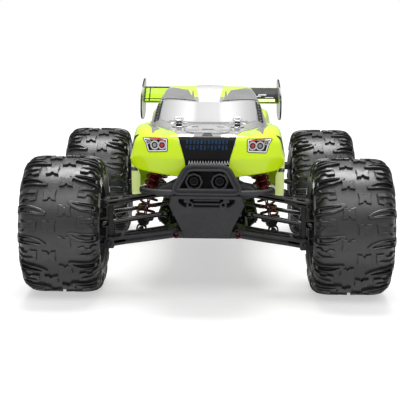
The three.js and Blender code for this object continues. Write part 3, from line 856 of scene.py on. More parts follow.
def make_arch_flanges():
    """The lip turned inwards behind each front wheel arch, with a band across it. The lip is pale and
    glows: painted light shining through it.
    """
    hem = np.array([row[-1] for row in SHELL_ROWS if -158 < row[-1][1] < -116])
    crossing = []
    for y in ARCH_BAND:
        x, z = (np.interp(y, hem[:, 1], hem[:, k]) for k in (0, 2))
        crossing.append((x + 0.3, y - 0.6, z - 0.3))
    lips = Shape()
    bands = Shape()
    for side in (-1, 1):
        lips.add(lip_strip(hem.tolist(), side))
        bands.add(lip_strip(crossing, side))
    for shape, name, finish in ((lips, "arch_lips", "lime_painted_glow"), (bands, "arch_bands", "silver")):
        made = shape.piece(name, finish, "body_shell", "shell", 40)
        wall = made.modifiers.new("wall", "SOLIDIFY")
        wall.thickness = 1.0 * MM


# For each view: the way a ray looks, and how the two drawing axes lie in space.
VIEWS = {
    "top": (Vector((0, 0, -1)), lambda a, b: Vector((a, b, 400))),
    "front": (Vector((0, 1, 0)), lambda a, b: Vector((a, -400, b))),
    "back": (Vector((0, -1, 0)), lambda a, b: Vector((a, 400, b))),
    "left": (Vector((-1, 0, 0)), lambda a, b: Vector((400, a, b))),
    "right": (Vector((1, 0, 0)), lambda a, b: Vector((-400, a, b))),
}


def onto_shell(a, b, view, lift):
    """The point of the shell seen at a drawing position in a view, lifted off the surface."""
    look, start = VIEWS[view]
    hit, normal, _, _ = SHELL_TREE.ray_cast(start(a, b), look)
    if hit is None:
        return None
    if normal.dot(look) > 0:
        normal = -normal
    return hit + normal * lift


def within(point, loop):
    inside = False
    for (ax, ay), (bx, by) in zip(loop, loop[1:] + loop[:1]):
        if (ay > point.y) != (by > point.y) and point.x < (bx - ax) * (point.y - ay) / (by - ay) + ax:
            inside = not inside
    return inside


def film(outline, view, lift, cell, holes):
    """A thin patch that lies on the shell inside an outline, made fine enough to follow it."""
    loops = [refined(list(loop), cell) for loop in (outline, *holes)]
    points = [Vector(point) for loop in loops for point in loop]
    edges = []
    start = 0
    for loop in loops:
        edges.extend((start + step, start + (step + 1) % len(loop)) for step in range(len(loop)))
        start += len(loop)
    low = [min(point[axis] for point in outline) for axis in (0, 1)]
    high = [max(point[axis] for point in outline) for axis in (0, 1)]
    across = np.arange(low[0] + cell / 2, high[0], cell)
    along = np.arange(low[1] + cell / 2, high[1], cell)
    points.extend(Vector((a, b)) for a in across for b in along)
    flat, _, triangles, _, _, _ = geometry.delaunay_2d_cdt(points, edges, [], 0, 0.01)
    placed = [onto_shell(point.x, point.y, view, lift) for point in flat]
    kept = []
    for triangle in triangles:
        middle = sum((flat[index] for index in triangle), Vector((0, 0))) / 3
        inside = within(middle, loops[0]) and not any(within(middle, hole) for hole in loops[1:])
        if inside and all(placed[index] is not None for index in triangle):
            kept.append(list(triangle))
    if view in ("back", "right"):
        kept = [face[::-1] for face in kept]
    used = sorted({index for face in kept for index in face})
    names = {index: position for position, index in enumerate(used)}
    return [placed[index] for index in used], [[names[index] for index in face] for face in kept]


def both_sides(outline):
    """An outline and its mirror image across the middle."""
    return [outline, [(-x, y) for x, y in outline]]


def across_middle(half):
    """A whole outline from its right half, listed front to back or bottom to top."""
    return half + [(-x, y) for x, y in half[::-1]]


def circle(x, y, radius, steps=20):
    turn = 2 * math.pi / steps
    return [(x + radius * math.cos(turn * step),
             y + radius * math.sin(turn * step)) for step in range(steps)]


def stick(name, finish, patches, view, lift, cell=2.5):
    """Patches of one finish, as one piece that rides with the shell."""
    shape = Shape()
    for patch in patches:
        outline, holes = patch if isinstance(patch, tuple) else (patch, [])
        shape.add(film(outline, view, lift, cell, holes))
    return shape.piece(name, finish, "body_shell", "shell", 60)


HOOD = across_middle([(29, -222), (31, -214), (34, -203), (37.5, -188), (41.5, -170), (49, -150),
                      (59, -130), (66, -116), (65.5, -90), (62.5, -62), (60, -52)])
SCREEN = across_middle([(0, -134), (25, -131), (47, -124), (53.5, -117), (54.5, -90), (53, -62), (30, -66),
                        (14, -71)])
HOOD_PANEL = across_middle([(14, -212.5), (21.5, -209), (25.4, -183), (22.5, -158), (19, -144)])
# Bright patches at both ends of the hood's front lip: painted highlights.
HOOD_LIP_HIGHLIGHTS = [(16, -220), (27.8, -219.5), (30, -211), (19.5, -209.5)]
ROOF_PANEL = [(60, -55), (17.5, -64.5), (19, -24), (20.5, -23), (21, -46), (26, -15), (35, -8), (46, 5),
              (57, 0), (60, -30)]
ROOF_SCOOP = across_middle([(11.5, -72.5), (16, -12), (17, 45)])
SCREEN_LINE = [(56, -56.5), (30, -61.5), (15, -66.5), (15.2, -65.3), (30, -60), (56, -55)]
FENDER_TIP = [(66, -158), (60.5, -178), (58, -201), (54.5, -182), (52, -170), (57, -156)]
GRILLE = across_middle([(22, 138.4), (22.8, 153), (29.8, 177)])
LAMP = [(68, 174.2), (64.4, 169), (62, 161.4), (60.5, 160.4), (42, 161.8), (40.8, 163), (40.8, 174.6),
        (42, 175.6), (66, 175.2)]
LAMP_ROUNDS = [(61.2, 171, 2.5), (54.4, 168, 4.7), (46.6, 168.3, 4.4)]
LAMP_BROW = [(60, 173.8), (52, 173.9), (44, 171.5), (43.6, 173), (46, 174.2), (52, 174.9), (60, 174.7)]
HOOD_VENT = [(10, -170), (18, -172), (17, -167), (11, -166)]
SCREEN_BAND = across_middle([(0, -133), (25, -130), (44, -123), (44, -120), (25, -126), (10, -128)])
GRILLE_BARS = (12, -22, 3.7)  # how many, the first one's X and the step
GRILLE_TEETH = (15, -19.6, 2.8)
CHAIN_LINKS = 7
CHAIN_START = (58.8, -117)
CHAIN_STEP = (0.3, 8)  # each link is this much further in and further back


def decorate_front():
    """Films on the hood, the windscreen and the nose."""
    stick("hood_silver", "hood", [HOOD], "top", 0.3, 3)
    stick("windscreen", "screen", [SCREEN], "top", 0.5, 3)
    stick("windscreen_band", "silver", [SCREEN_BAND], "top", 0.65, 2)
    stick("windscreen_line", "shell_black", both_sides(SCREEN_LINE), "top", 0.7, 1.5)
    panel = stick("hood_panel", "hood", [HOOD_PANEL], "top", 1.7, 2.5)
    raised = panel.modifiers.new("depth", "SOLIDIFY")
    raised.thickness = 1.5 * MM
    vents = [[(side * x, y) for x, y in HOOD_VENT] for side in (-1, 1)]
    vents.append(across_middle([(7.5, -196), (4.5, -191.5)]))
    stick("hood_vents", "shell_black", vents, "top", 1.85, 1.5)
    # The lip's ends: painted highlights in bright silver.
    stick("hood_lip_highlights", "silver_light", both_sides(HOOD_LIP_HIGHLIGHTS), "top", 0.6, 1.2)
    # The middle of the nose is darker: painted shade between the lip's painted highlights.
    stick("hood_nose_shade", "silver_shaded", [across_middle([(14.5, -221), (12.5, -210.5)])], "top", 0.6, 1.2)
    stick("hood_intake", "shell_black", [across_middle([(5.5, -219.5), (3.5, -215)])], "top", 0.9, 1.2)
    stick("fender_tips", "silver", both_sides(FENDER_TIP), "top", 0.35)
    decorate_grille()
    decorate_headlamps()


def decorate_grille():
    """A black panel with two rows of blue bars over a row of pale teeth."""
    stick("grille_panel", "shell_black", [GRILLE], "front", 0.7, 1.3)
    bars = []
    count, first, pitch = GRILLE_BARS
    for column in range(count):
        x = first + column * pitch
        low = 164.6 + 1.6 * (column % 3 == 0)
        bars.append(rectangle(x, low, x + 1.9, 169.2))
        bars.append(rectangle(x + 0.4, 170.4, x + 2.5, 174.2))
    stick("grille_bars", "blue", bars, "front", 1, 2)
    teeth = []
    count, first, pitch = GRILLE_TEETH
    for tooth in range(count):
        x = first + tooth * pitch
        teeth.append([(x, 149.8), (x + 1.4, 154.4), (x + 2.8, 149.8), (x + 2.1, 149.8), (x + 1.4, 152.2),
                      (x + 0.7, 149.8)])
    stick("grille_mesh", "white", teeth, "front", 1.1, 1.2)


def decorate_headlamps():
    """Two dark lamps with a pale border, a red brow and three ringed lenses each."""
    border = inset(LAMP[::-1], 0.7)
    ground = inset(border, 1.3)
    stick("lamp_outline", "shell_black", both_sides(LAMP), "front", 0.35, 1.5)
    stick("lamp_border", "white", both_sides(border), "front", 0.5, 1.5)
    stick("lamp_ground", "shell_black", both_sides(ground), "front", 0.65, 1.5)
    stick("lamp_brow", "red", both_sides(LAMP_BROW), "front", 0.8, 1)
    rings = []
    lenses = []
    for side in (-1, 1):
        for x, z, radius in LAMP_ROUNDS:
            rings.append((circle(side * x, z, radius), [circle(side * x, z, radius * 0.68)]))
            lenses.append(circle(side * x, z, radius * 0.42, 14))
    stick("lamp_rings", "silver_light", rings, "front", 0.85, 1.2)
    stick("lamp_lenses", "silver", lenses, "front", 0.85, 1.2)
    reds = [circle(side * 46.6, 168.3, 1.9, 14) for side in (-1, 1)]
    stick("lamp_reds", "red", reds, "front", 1, 1.2)


def pillar_chain():
    """A chain of dark links up each windscreen pillar."""
    links = []
    for side in (-1, 1):
        for step in range(CHAIN_LINKS):
            x = CHAIN_START[0] - step * CHAIN_STEP[0]
            y = CHAIN_START[1] + step * CHAIN_STEP[1]
            outer = [(x - 2.6, y), (x + 2.6, y - 0.6), (x + 3, y + 7.2), (x - 3, y + 7.2)]
            inner = [(x - 1.2, y + 2), (x + 1.2, y + 1.6), (x + 1.4, y + 5.4), (x - 1.4, y + 5.4)]
            links.append(([(side * a, b) for a, b in outer], [[(side * a, b) for a, b in inner]]))
    stick("pillar_chain", "shell_black", links, "top", 0.7, 1.6)


REAR_SCREEN = across_middle([(40, 78), (44, 84), (40, 112), (34, 117)])
TAIL_PANEL = across_middle([(36, 126), (30, 142), (34, 180), (20, 186)])


def decorate_roof():
    stick("roof_panels", "silver", both_sides(ROOF_PANEL), "top", 0.35)
    stick("roof_scoop", "white", [ROOF_SCOOP], "top", 0.4)
    stick("rear_screen", "shell_black", [REAR_SCREEN], "top", 0.35)
    stick("tail_panel", "silver", [TAIL_PANEL], "top", 0.6)


SIDE_GLASS = [(-70, 190), (-40, 187.5), (30, 187.5), (72, 187), (60, 197), (30, 207), (-15, 207),
              (-52, 200)]
SIDE_SPIKES = [
    [(-60, 104), (60, 104), (30, 112), (52, 118), (8, 124), (28, 131), (-20, 137), (4, 144), (-46, 150),
     (-62, 128)],
    [(78, 108), (106, 124), (108, 150), (92, 158), (84, 136), (74, 152), (70, 122)],
]
DOOR = [(-58, 108), (38, 108), (50, 130), (52, 184), (-50, 184), (-60, 140)]
SIDE_SLASH = [(-196, 162), (-188, 160), (-184, 174), (-192, 177)]
TAIL_LAMP = [(44, 158), (74, 157.5), (73, 165), (46, 170)]


def decorate_sides():
    for view in ("left", "right"):
        stick("side_glass_" + view, "shell_black", [SIDE_GLASS], view, 0.35)
        stick("side_graphic_" + view, "silver", SIDE_SPIKES, view, 0.35, 3.5)
        stick("door_line_" + view, "shell_black", [(DOOR, [inset(DOOR, 0.9)])], view, 0.5, 3)
        stick("side_slash_" + view, "shell_black", [SIDE_SLASH], view, 0.4)
    stick("tail_black", "shell_black", [across_middle([(40, 155), (40, 172)])], "back", 0.35)
    stick("tail_lamps", "red", both_sides(TAIL_LAMP), "back", 0.4)


# ---------------------------------------------------------------- bumper, skid plate and wing


def frame_of(origin, along, up):
    """A frame whose X runs along one direction and whose Y leans towards another."""
    x = Vector(along).normalized()
    z = x.cross(Vector(up)).normalized()
    y = z.cross(x)
    return Matrix.Translation(origin) @ Matrix((x, y, z)).transposed().to_4x4()


FACING = frame_of((0, 0, 0), (1, 0, 0), (0, 0, 1))  # drawings of X, Z; heights run towards the front
SIDEWAYS = frame_of((0, 0, 0), (0, 1, 0), (0, 0, 1))  # drawings of Y, Z; heights run along X
BUMPER_Y = -242.0
HOOP = [(-34, 123.6), (34, 123.6), (20.6, 148.6), (-20.6, 148.6)]
BUMPER_BARS = [((-26, -243.5, 120.4), (26, -231, 123.4)), ((-19, -239, 144.8), (19, -231, 147.6))]
SKID_FOOT = Vector((0, -200, 66.8))
SKID_EDGE = [(21.6, 0.5), (37.6, 54), (34.2, 68)]  # across and up the plate
SKID_RISE = Vector((0, -45.5, 52.8))


def make_bumper():
    bumper = Shape()
    ring = rounded_outline(HOOP, 7, 5)
    outer, inner = inset(ring, -2.1), inset(ring, 2.3)
    bumper.add(slab(outer, 238, 243, 0.8, [inner]), FACING)
    for loop, radius in ((outer, 1.5), (inner, 1.5)):
        bumper.add(swept([(x, BUMPER_Y - 1.4, z) for x, z in loop], radius, 10, closed=True))
    for low, high in BUMPER_BARS:
        bumper.add(block(low, high, 0.7))
    for side in (-1, 1):
        tube = smooth_path([(side * 33, BUMPER_Y, 122.8), (side * 56, -238, 122.6), (side * 68, -205, 120)],
                           22, 8)
        bumper.add(swept(tube, 2.7, 14))
        bumper.add(turned([(0, -3.8), (2.6, -3.2), (3.4, -1.3), (3.4, 1.3), (2.6, 3.2), (0, 3.8)], 16),
                   aimed((side * 68, -205, 120), (0, 0, 1)))
        gusset = [(side * 31, 122), (side * 62, 122), (side * 50, 116.6), (side * 38, 114.2),
                  (side * 31, 114.2)]
        bumper.add(slab(gusset, 226, 229, 0.6), FACING)
        bumper.add(swept([(side * 20, BUMPER_Y, 123), (side * 17, -184.8, 113)], 3, 12))
        web = [(side * 33, 125), (side * 29.5, 136), (side * 51, 124)]
        bumper.add(slab(web, 234, 236.2, 0.5), FACING)
    bumper.piece("bumper_hoop", "grey_nylon", "chassis", "grey_nylon", 35, ["front_bumper"])
    rods = Shape()
    for side in (-1, 1):
        rods.add(swept([(side * 28, BUMPER_Y + 2, 137.5), (side * 54, -225, 122.5)], 1.3, 10))
    rods.piece("bumper_rods", "black_steel", "chassis", "black_steel")
    make_lamps()


def make_lamps():
    bezels = Shape()
    cups = Shape()
    for side in (-1, 1):
        place = Matrix.Translation((side * 13, 0, 134)) @ FACING
        octagon = circle(0, 0, 9, 8)
        bezels.add(slab(octagon, 231, 243.6, 0.6, [circle(0, 0, 7.2, 8)]), place)
        bezels.add(slab(circle(0, 0, 4.6, 24), 231, 239, 0.5, [circle(0, 0, 3.3, 24)]), place)
        cups.add(turned([(0, 233.5), (7.3, 233.5), (7.3, 234.2), (3.4, 235), (3, 237), (0, 237.6)], 24),
                 place)
    # The lamp cups and the plate behind the lamps are dead black: painted shade in the recess.
    cups.add(slab(across_middle([(29, 124), (19, 146.5)]), 230, 233, 0.4), FACING)
    bezels.piece("lamp_bezels", "grey_nylon", "chassis", "grey_nylon")
    cups.piece("lamp_cups", "painted_shade", "chassis", "black_nylon")


def boss_frame(side):
    """The frame at a screw boss of the skid plate whose Z runs towards the front."""
    return frame_of((side * 17, -231, 109.5), (1, 0, 0), (0, 0, 1))


def make_skid():
    skid = Shape()
    place = frame_of(SKID_FOOT, (1, 0, 0), SKID_RISE)
    outline = rounded_outline(across_middle([(21.8, 0), (38, 54.5), (34.5, 68.5)]), 3.5, 3)
    window = rounded_outline(across_middle([(23, 51.5), (28.5, 58), (29, 64.5)]), 2, 3)
    skid.add(slab(outline, -3.8, 0, 0.7, [window]), place)
    for side in (-1, 1):
        skid.add(swept([place @ Vector((side * x, s, -2)) for x, s in SKID_EDGE], 1.7, 8))
        skid.add(slab(circle(0, 0, 3.9, 20), 0, 8, 0.6, [circle(0, 0, 1.7, 12)]), boss_frame(side))
        skid.add(block((side * 20 - 3, -240.5, 112), (side * 20 + 3, -230, 121.5), 0.6))
    for low in (109.2, 113):
        skid.add(block((-13.5, -237.5, low), (13.5, -231.5, low + 2.4), 0.6))
    skid.add(block((-21.8, -200.4, 66.9), (21.8, -196.6, 72), 0.5))
    skid.piece("skid_guard", "grey_nylon", "chassis", "grey_nylon", 35, ["skid_plate"])
    # A dark sheet behind the bumper and plugs in the bosses: painted shade.
    shade = Shape().add(block((-30, -229.5, 104), (30, -228.5, 122), 0.3))
    for side in (1, -1):
        shade.add(slab(circle(0, 0, 1.7, 12), 1, 4, 0.2), boss_frame(side))
    shade.piece("bumper_shade", "painted_shade", "chassis", "black_nylon")


WING_TOP = [(204, 185), (213, 187), (226, 193), (237, 202), (240.5, 204)]
WING_UNDER = [(241, 202.6), (231, 190.5), (215, 184), (205, 183)]
ENDPLATE = [(200, 170), (206, 160), (222, 158), (238, 166), (244, 192), (244.6, 215.5), (236, 216.5),
            (214, 204), (201, 190)]
STRUT = [(184.6, 108), (184.6, 117), (203, 150), (210.5, 184), (219.5, 188), (213, 150), (190, 108)]
STRUT_WINDOWS = [
    [(190, 114), (204, 141), (207, 141), (194, 116)],
    [(206, 150), (212, 178), (214.6, 179), (210, 150)],
]


def wing_skin(x0, x1, start, end, lift):
    """A thin strip on the wing's upper face, from one share of its chord to another."""
    path = smooth_path([(0, *point) for point in WING_TOP], 6, 3)
    lengths = np.cumsum([0] + [(b - a).length for a, b in zip(path, path[1:])])
    top = []
    for share in np.linspace(start, end, 8):
        reach = share * lengths[-1]
        top.append((np.interp(reach, lengths, [p.y for p in path]),
                    np.interp(reach, lengths, [p.z for p in path])))
    strip = [(y - 0.45 * lift, z + lift) for y, z in top]
    return slab(strip + [(y, z - 0.2) for y, z in top[::-1]], x0, x1, 0.05)


def make_wing_blade():
    wing = Shape()
    top = smooth_path([(0, *point) for point in WING_TOP], 6, 3)
    under = smooth_path([(0, *point) for point in WING_UNDER], 6, 3)
    section = [(point.y, point.z) for point in [*top, *under]]
    wing.add(slab(section, -97.4, 97.4, 0.3), SIDEWAYS)
    wing.piece("wing_blade", "lime_shaded", "chassis", "wing", 30, ["rear_wing"])


def make_wing_print():
    """Black lines, a lime strip and pale flashes on the wing's upper face."""
    black = Shape()
    black.add(wing_skin(2, 97, 0, 0.97, 0.35), SIDEWAYS)
    for x in (-97, -90, -54, -46, -4):
        black.add(wing_skin(x, x + (6 if x > -50 else 1.6), 0, 0.97, 0.35), SIDEWAYS)
    for low, high in ((0, 0.05), (0.26, 0.30), (0.93, 1)):
        black.add(wing_skin(-97, 2, low, high, 0.4), SIDEWAYS)
    black.piece("wing_lines", "shell_black", "chassis", "wing")
    # The lime strip glows: painted light.
    lime = Shape().add(wing_skin(4, 92, 0.05, 0.30, 0.6), SIDEWAYS)
    lime.piece("wing_strip", "lime_painted_glow", "chassis", "wing")
    pale = Shape()
    for x, share in ((60, 0.45), (68, 0.55), (78, 0.38)):
        pale.add(wing_skin(x, x + 12, share, share + 0.06, 0.6), SIDEWAYS)
    pale.piece("wing_flashes", "silver_light", "chassis", "wing")


def make_endplates():
    plates = Shape()
    edges = Shape()
    outline = rounded_outline(ENDPLATE, 6, 4)
    for side in (-1, 1):
        low, high = sorted((side * 97.6, side * 99.4))
        hinge = at(side * 98.5, 222, 0)
        flared = hinge @ Matrix.Rotation(side * math.radians(4), 4, "Z") @ hinge.inverted() @ SIDEWAYS
        plates.add(slab(outline, low, high, 0.3), flared)
        edges.add(slab(inset(outline, -0.3), low - 0.15, high + 0.15, 0.1, [inset(outline, 0.9)]), flared)
    plates.piece("wing_endplates", "clear", "chassis", "wing")
    edges.piece("wing_edges", "gloss_black", "chassis", "wing")


def make_wing_struts():
    struts = Shape()
    for side in (-1, 1):
        low, high = sorted((side * 14.3, side * 18.7))
        struts.add(slab(rounded_outline(STRUT, 3, 3), low, high, 0.6, STRUT_WINDOWS), SIDEWAYS)
        struts.add(hex_socket_screw(2.4, 1.6), aimed((side * 18.6, 188.5, 112), (side, 0, 0)))
    struts.add(block((-17.8, 184.6, 108), (17.8, 188.4, 116), 0.6))
    struts.piece("wing_struts", "black_nylon", "chassis", "black_nylon")


def make_wing():
    make_wing_blade()
    make_wing_print()
    make_endplates()
    make_wing_struts()


CLIP_WIRE = [(-9, 0), (6, 0), (10, 1.2), (11.6, 4.2), (10, 7.4), (6.4, 8.2), (3.2, 6), (0.4, 3.4),
             (-3, 3.6), (-8.6, 6.6)]


def make_posts():
    """Washers on the shell, collars on the posts and a wire clip through each post."""
    washers = Shape()
    rims = Shape()
    clips = Shape()
    caps = Shape()
    for side in (-1, 1):
        for end in (-1, 1):
            x, y = side * 32.0, end * 153.5
            ground = onto_shell(x, y, "top", 0).z
            place = at(x, y, ground)
            washers.add(turned([(3.3, 0.2), (6.9, 0.2), (6.9, 0.9), (6.5, 1.2), (3.8, 1.2), (3.3, 0.9)], 28,
                               True), place)
            washers.add(swept([(a, b * 0.9, 8.8 + b * 0.3) for a, b in circle(0, 0, 4.5, 24)], 1, 10,
                              closed=True), place)
            rims.add(turned(rectangle(6.9, -0.2, 7.4, 0.6), 28, True), place)
            caps.add(rounded_rod(3.4, ground + 1.2, ground + 3, 0.5), at(x, y, 0))
            clips.add(swept([(x + side * a, y - b, ground + 4.4) for a, b in spline(CLIP_WIRE, 5)], 0.75,
                            8))
    washers.piece("post_washers", "silver_light", "body_shell", "bright_steel")
    rims.piece("post_rims", "shell_black", "body_shell", "shell")
    clips.piece("body_clips", "bright_steel", "body_shell", "bright_steel")
    caps.piece("post_caps", "black_nylon", "chassis", "black_nylon")


def spline(points, steps):
    made = curve_through([[point] for point in points], steps, 1)
    return [tuple(row[0]) for row in made]


# ---------------------------------------------------------------- suspension
# Each corner is drawn once: +X outwards, +Y towards the middle of the truck, Y = 0 on the axle line.

# The span that all links share, and their inner pivots, as (X, Z).
LINK = (73, -12.6)
LINK_LENGTH = math.hypot(*LINK)
LINK_SLOPE = math.atan2(-LINK[1], LINK[0])
LOWER_IN = (33, 70)
UPPER_IN = (38, 112)
SHAFT_IN = (45, 87.6)
TIE_IN = (34, 94.6)
TIE_Y = 38.0
SHOCK_TOP = Vector((50, 23.5, 160))
SHOCK_FOOT = Vector((74, 23.5, 66))
SHOCK_DOWN = (SHOCK_FOOT - SHOCK_TOP).normalized()
SPRING_SPAN = (27.6, 81.8)
SPRING_RADIUS = 9.1
SPRING_WIRE = 1.4
SPRING_TURNS = 7.5
SPRING_STEPS = int(SPRING_TURNS * 26)
KINGPIN_X = 118


def corner_frame(corner):
    side, end = CORNERS[corner]
    return at(0, end * AXLE_Y, 0) @ Matrix.Diagonal((side, -end, 1, 1))


def link_frame(inner, y=0):
    return at(inner[0], y, inner[1]) @ Matrix.Rotation(LINK_SLOPE, 4, "Y")


def crossbar(radius, y0, y1, x=0, z=0):
    points, faces = rounded_rod(radius, y0, y1, 0.5)
    place = at(x, 0, z) @ CROSSWISE
    return [tuple(place @ Vector(point)) for point in points], faces


ARM_LOWER = [(2, -25), (30, -21.6), (56, -17.4), (78.5, -17.4), (78.5, -11.8), (62.2, -11.8), (62.2, 11.8),
             (78.5, 11.8), (78.5, 17.4), (54, 17.4), (38, 12.2), (2, 12.2)]
ARM_LOWER_POCKETS = [
    [(9, -20.5), (28, -18.4), (28, -8.5), (9, -8.5)],
    rectangle(9, -4.5, 28, 8.4),
    [(33, -17.6), (54, -14.2), (57.5, -11), (57.5, -3.5), (33, -6.5)],
    [(33, -2.5), (57.5, 0.5), (57.5, 12.4), (54, 13.4), (40, 8.8), (33, 8.4)],
]
ARM_UPPER = [(2, -12.8), (18, -8), (46, -8), (60, -13.4), (78, -13.4), (78, -9), (60.2, -9), (60.2, 9),
             (78, 9), (78, 13.4), (62, 13.4), (46, 4), (18, 4), (2, 6.8)]
ARM_UPPER_POCKETS = [[(8, -7.8), (19, -4.8), (19, 1.2), (8, 3.4)], rectangle(24, -5, 44, 1),
                     [(47, -4.6), (55.4, -8), (55.4, 5), (47, 1.5)]]


def make_lower_arm(corner, frame):
    lower = Shape()
    place = frame @ link_frame(LOWER_IN)
    lower.add(slab(ARM_LOWER, -4.4, 4.4, 0.8, ARM_LOWER_POCKETS), place)
    lower.add(slab(ARM_LOWER, -1.6, 1.6, 0.3), place)
    lower.add(crossbar(5.4, -25.3, 12.3), place)
    for y0, y1 in ((-17.5, -11.7), (11.7, 17.5)):
        lower.add(crossbar(5.9, y0, y1, LINK_LENGTH), place)
    lower.add(crossbar(3.4, 9, 19, 41.08, 3.03), place)
    lower.piece("arm_lower_" + corner, "grey_nylon", "lower_arm_" + corner, "black_nylon", 35,
                ["lower_arm_" + corner])
    pins = Shape()
    pins.add(crossbar(2.2, -26, 13.4), place)
    pins.add(crossbar(2.2, -18.6, 18.6, LINK_LENGTH), place)
    pins.add(crossbar(2.4, 8, 27.8, 41.08, 3.03), place)
    for x, y in ((LINK_LENGTH, -18.4), (0, -25.6)):
        pins.add(hex_socket_screw(3, 1.8), place @ (at(x, y, 0) @ MINUS_Y))
    pins.piece("arm_pins_" + corner, "black_steel", "lower_arm_" + corner, "black_steel")


def make_upper_arm(corner, frame):
    upper = Shape()
    place = frame @ link_frame(UPPER_IN)
    upper.add(slab(ARM_UPPER, -2.9, 2.9, 0.7, ARM_UPPER_POCKETS), place)
    upper.add(slab(ARM_UPPER, -1.2, 1.2, 0.3), place)
    upper.add(crossbar(4.4, -12.9, 6.9), place)
    for y0, y1 in ((-13.5, -8.9), (8.9, 13.5)):
        upper.add(crossbar(4.5, y0, y1, LINK_LENGTH), place)
    upper.piece("arm_upper_" + corner, "black_nylon", "upper_arm_" + corner, "black_nylon", 35,
                ["upper_arm_" + corner])
    rods = Shape()
    rods.add(crossbar(1.9, -14.4, 14.4, LINK_LENGTH), place)
    rods.add(hex_socket_screw(2.6, 1.5), place @ at(LINK_LENGTH, -14.3, 0) @ MINUS_Y)
    rods.piece("upper_pins_" + corner, "black_steel", "upper_arm_" + corner, "black_steel")


def make_drive_shaft(corner, frame):
    length = LINK_LENGTH
    profile = [(0, -4.3), (2.6, -3.4), (4.3, -1), (4.3, 1.6), (3, 3.6), (2.4, 5), (2.9, 5.4),
               (2.9, length - 12), (3.6, length - 11), (3.6, length - 7), (4.2, length - 6),
               (4.3, length + 1), (2.6, length + 3.4), (0, length + 4.3)]
    shaft = Shape().add(turned(profile, 28), frame @ link_frame(SHAFT_IN) @ LAID)
    shaft.piece("shaft_" + corner, "gloss_black", "drive_shaft_" + corner, "black_steel", 40,
                ["drive_shaft_" + corner])


def make_tie_rod(corner, frame):
    length = LINK_LENGTH
    rod = Shape()
    place = frame @ link_frame(TIE_IN, TIE_Y) @ LAID
    rod.add(turned([(0, 6), (2.4, 6), (2.4, 30), (1.9, 31), (1.9, length - 31), (2.4, length - 30),
                    (2.4, length - 6), (0, length - 6)], 20), place)
    rod.add(turned(rectangle(0, length / 2 - 5, 2.5, length / 2 + 5), 6), place)
    for end, way in ((0, 1), (length, -1)):
        rod.add(turned([(0, end - 3.9), (2.6, end - 3), (3.9, end), (2.6, end + 3), (0, end + 3.9)], 20),
                place)
        low, high = sorted((end + way * 2, end + way * 14))
        rod.add(turned(rectangle(0, low, 2.6, high), 16), place)
    rod.piece("steer_rod_" + corner, "gloss_black", "tie_rod_" + corner, "black_steel", 40,
              ["tie_rod_" + corner])


def shock_frame(frame):
    """The frame at a shock's top pin whose Z runs down the shock."""
    return frame @ frame_of(SHOCK_TOP, (0, 1, 0), Vector((0, 1, 0)).cross(SHOCK_DOWN) * -1)


def make_shock_tube(corner, frame, place):
    """The threaded tube of a shock with its upper eye and its spring collar."""
    body = Shape()
    body.add(turned([(0, 3), (3.9, 3), (3.9, 7.6), (7.4, 9.6), (8.2, 10.6), (8.2, 13), (7.6, 13.5),
                     (7.6, 14.5), (8.2, 15), (8.2, 21.4), (7.4, 22.4), (6.6, 23), (6.4, 27)], 32), place)
    thread = [(6, 27)]
    for step in range(22):
        t = 27.4 + step * 0.8
        thread.extend([(6.5, t), (6.1, t + 0.4)])
    thread.extend([(6.3, 46), (6.3, 56.5), (5.6, 57.8), (2.4, 58)])
    body.add(turned(thread, 28), place)
    body.add(turned([(2.8, -3.4), (4.7, -3), (4.7, 3), (2.8, 3.4)], 24, True),
             frame @ at(*SHOCK_TOP) @ CROSSWISE)
    body.piece("shock_tube_" + corner, "red_metal", "shock_body_" + corner, "red_metal", 30,
               ["shock_body_" + corner])
    collar = Shape()
    knurled = [polar(8.6 + 0.8 * (step % 2 == 0), step * math.pi / 24) for step in range(48)]
    collar.add(slab(knurled, 23.6, 27.2, 0.3), place)
    collar.piece("shock_collar_" + corner, "black_steel", "shock_body_" + corner, "black_steel")


def make_shock_rod(corner, frame, place):
    """The rod of a shock with its lower eye and the cup under its spring."""
    rod = Shape()
    rod.add(turned([(0, 46), (1.9, 46), (1.9, 80)], 16), place)
    rod.add(turned([(0, 94), (3.3, 94), (3.3, 92.5)], 16), place)
    rod.piece("shock_shaft_" + corner, "bright_steel", "shock_rod_" + corner, "bright_steel", 40,
              ["shock_rod_" + corner])
    cup = Shape()
    cup.add(turned([(4.3, -3.9), (5.9, -3.4), (5.9, 3.4), (4.3, 3.9)], 24, True),
            frame @ at(*SHOCK_FOOT) @ CROSSWISE)
    cup.add(turned([(2, 80.5), (7.4, 80.5), (7.6, 82.2), (10.6, 82.4), (10.6, 84.4), (9.6, 85.4), (7, 86.4),
                    (6.4, 90.5), (4.6, 92.6), (0, 92.8)], 28), place)
    cup.piece("shock_cup_" + corner, "black_nylon", "shock_rod_" + corner, "black_nylon")


def make_spring(corner, place):
    low, high = SPRING_SPAN
    path = []
    for step in range(SPRING_STEPS + 1):
        share = step / SPRING_STEPS
        angle = 2 * math.pi * SPRING_TURNS * share
        height = low + 1.2 + (high - low - 2.4) * share
        path.append((*polar(SPRING_RADIUS, angle), height))
    spring = Shape().add(swept(path, SPRING_WIRE, 10), place)
    made = spring.piece("coil_" + corner, "red_metal", None, "red_metal", 60, ["spring_" + corner])
    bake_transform(made)


def axle_block(x0, x1, low, high):
    """An upright plate in Y, Z with a round hole for the axle, from one X to another."""
    outline = [(-12.6, low + 6), (-8, low), (8, low), (12.6, low + 6), (12.6, high - 6), (8, high),
               (-8, high), (-12.6, high - 6)]
    return slab(outline, x0, x1, 0.8, [circle(0, AXLE_Z, 8, 20)])


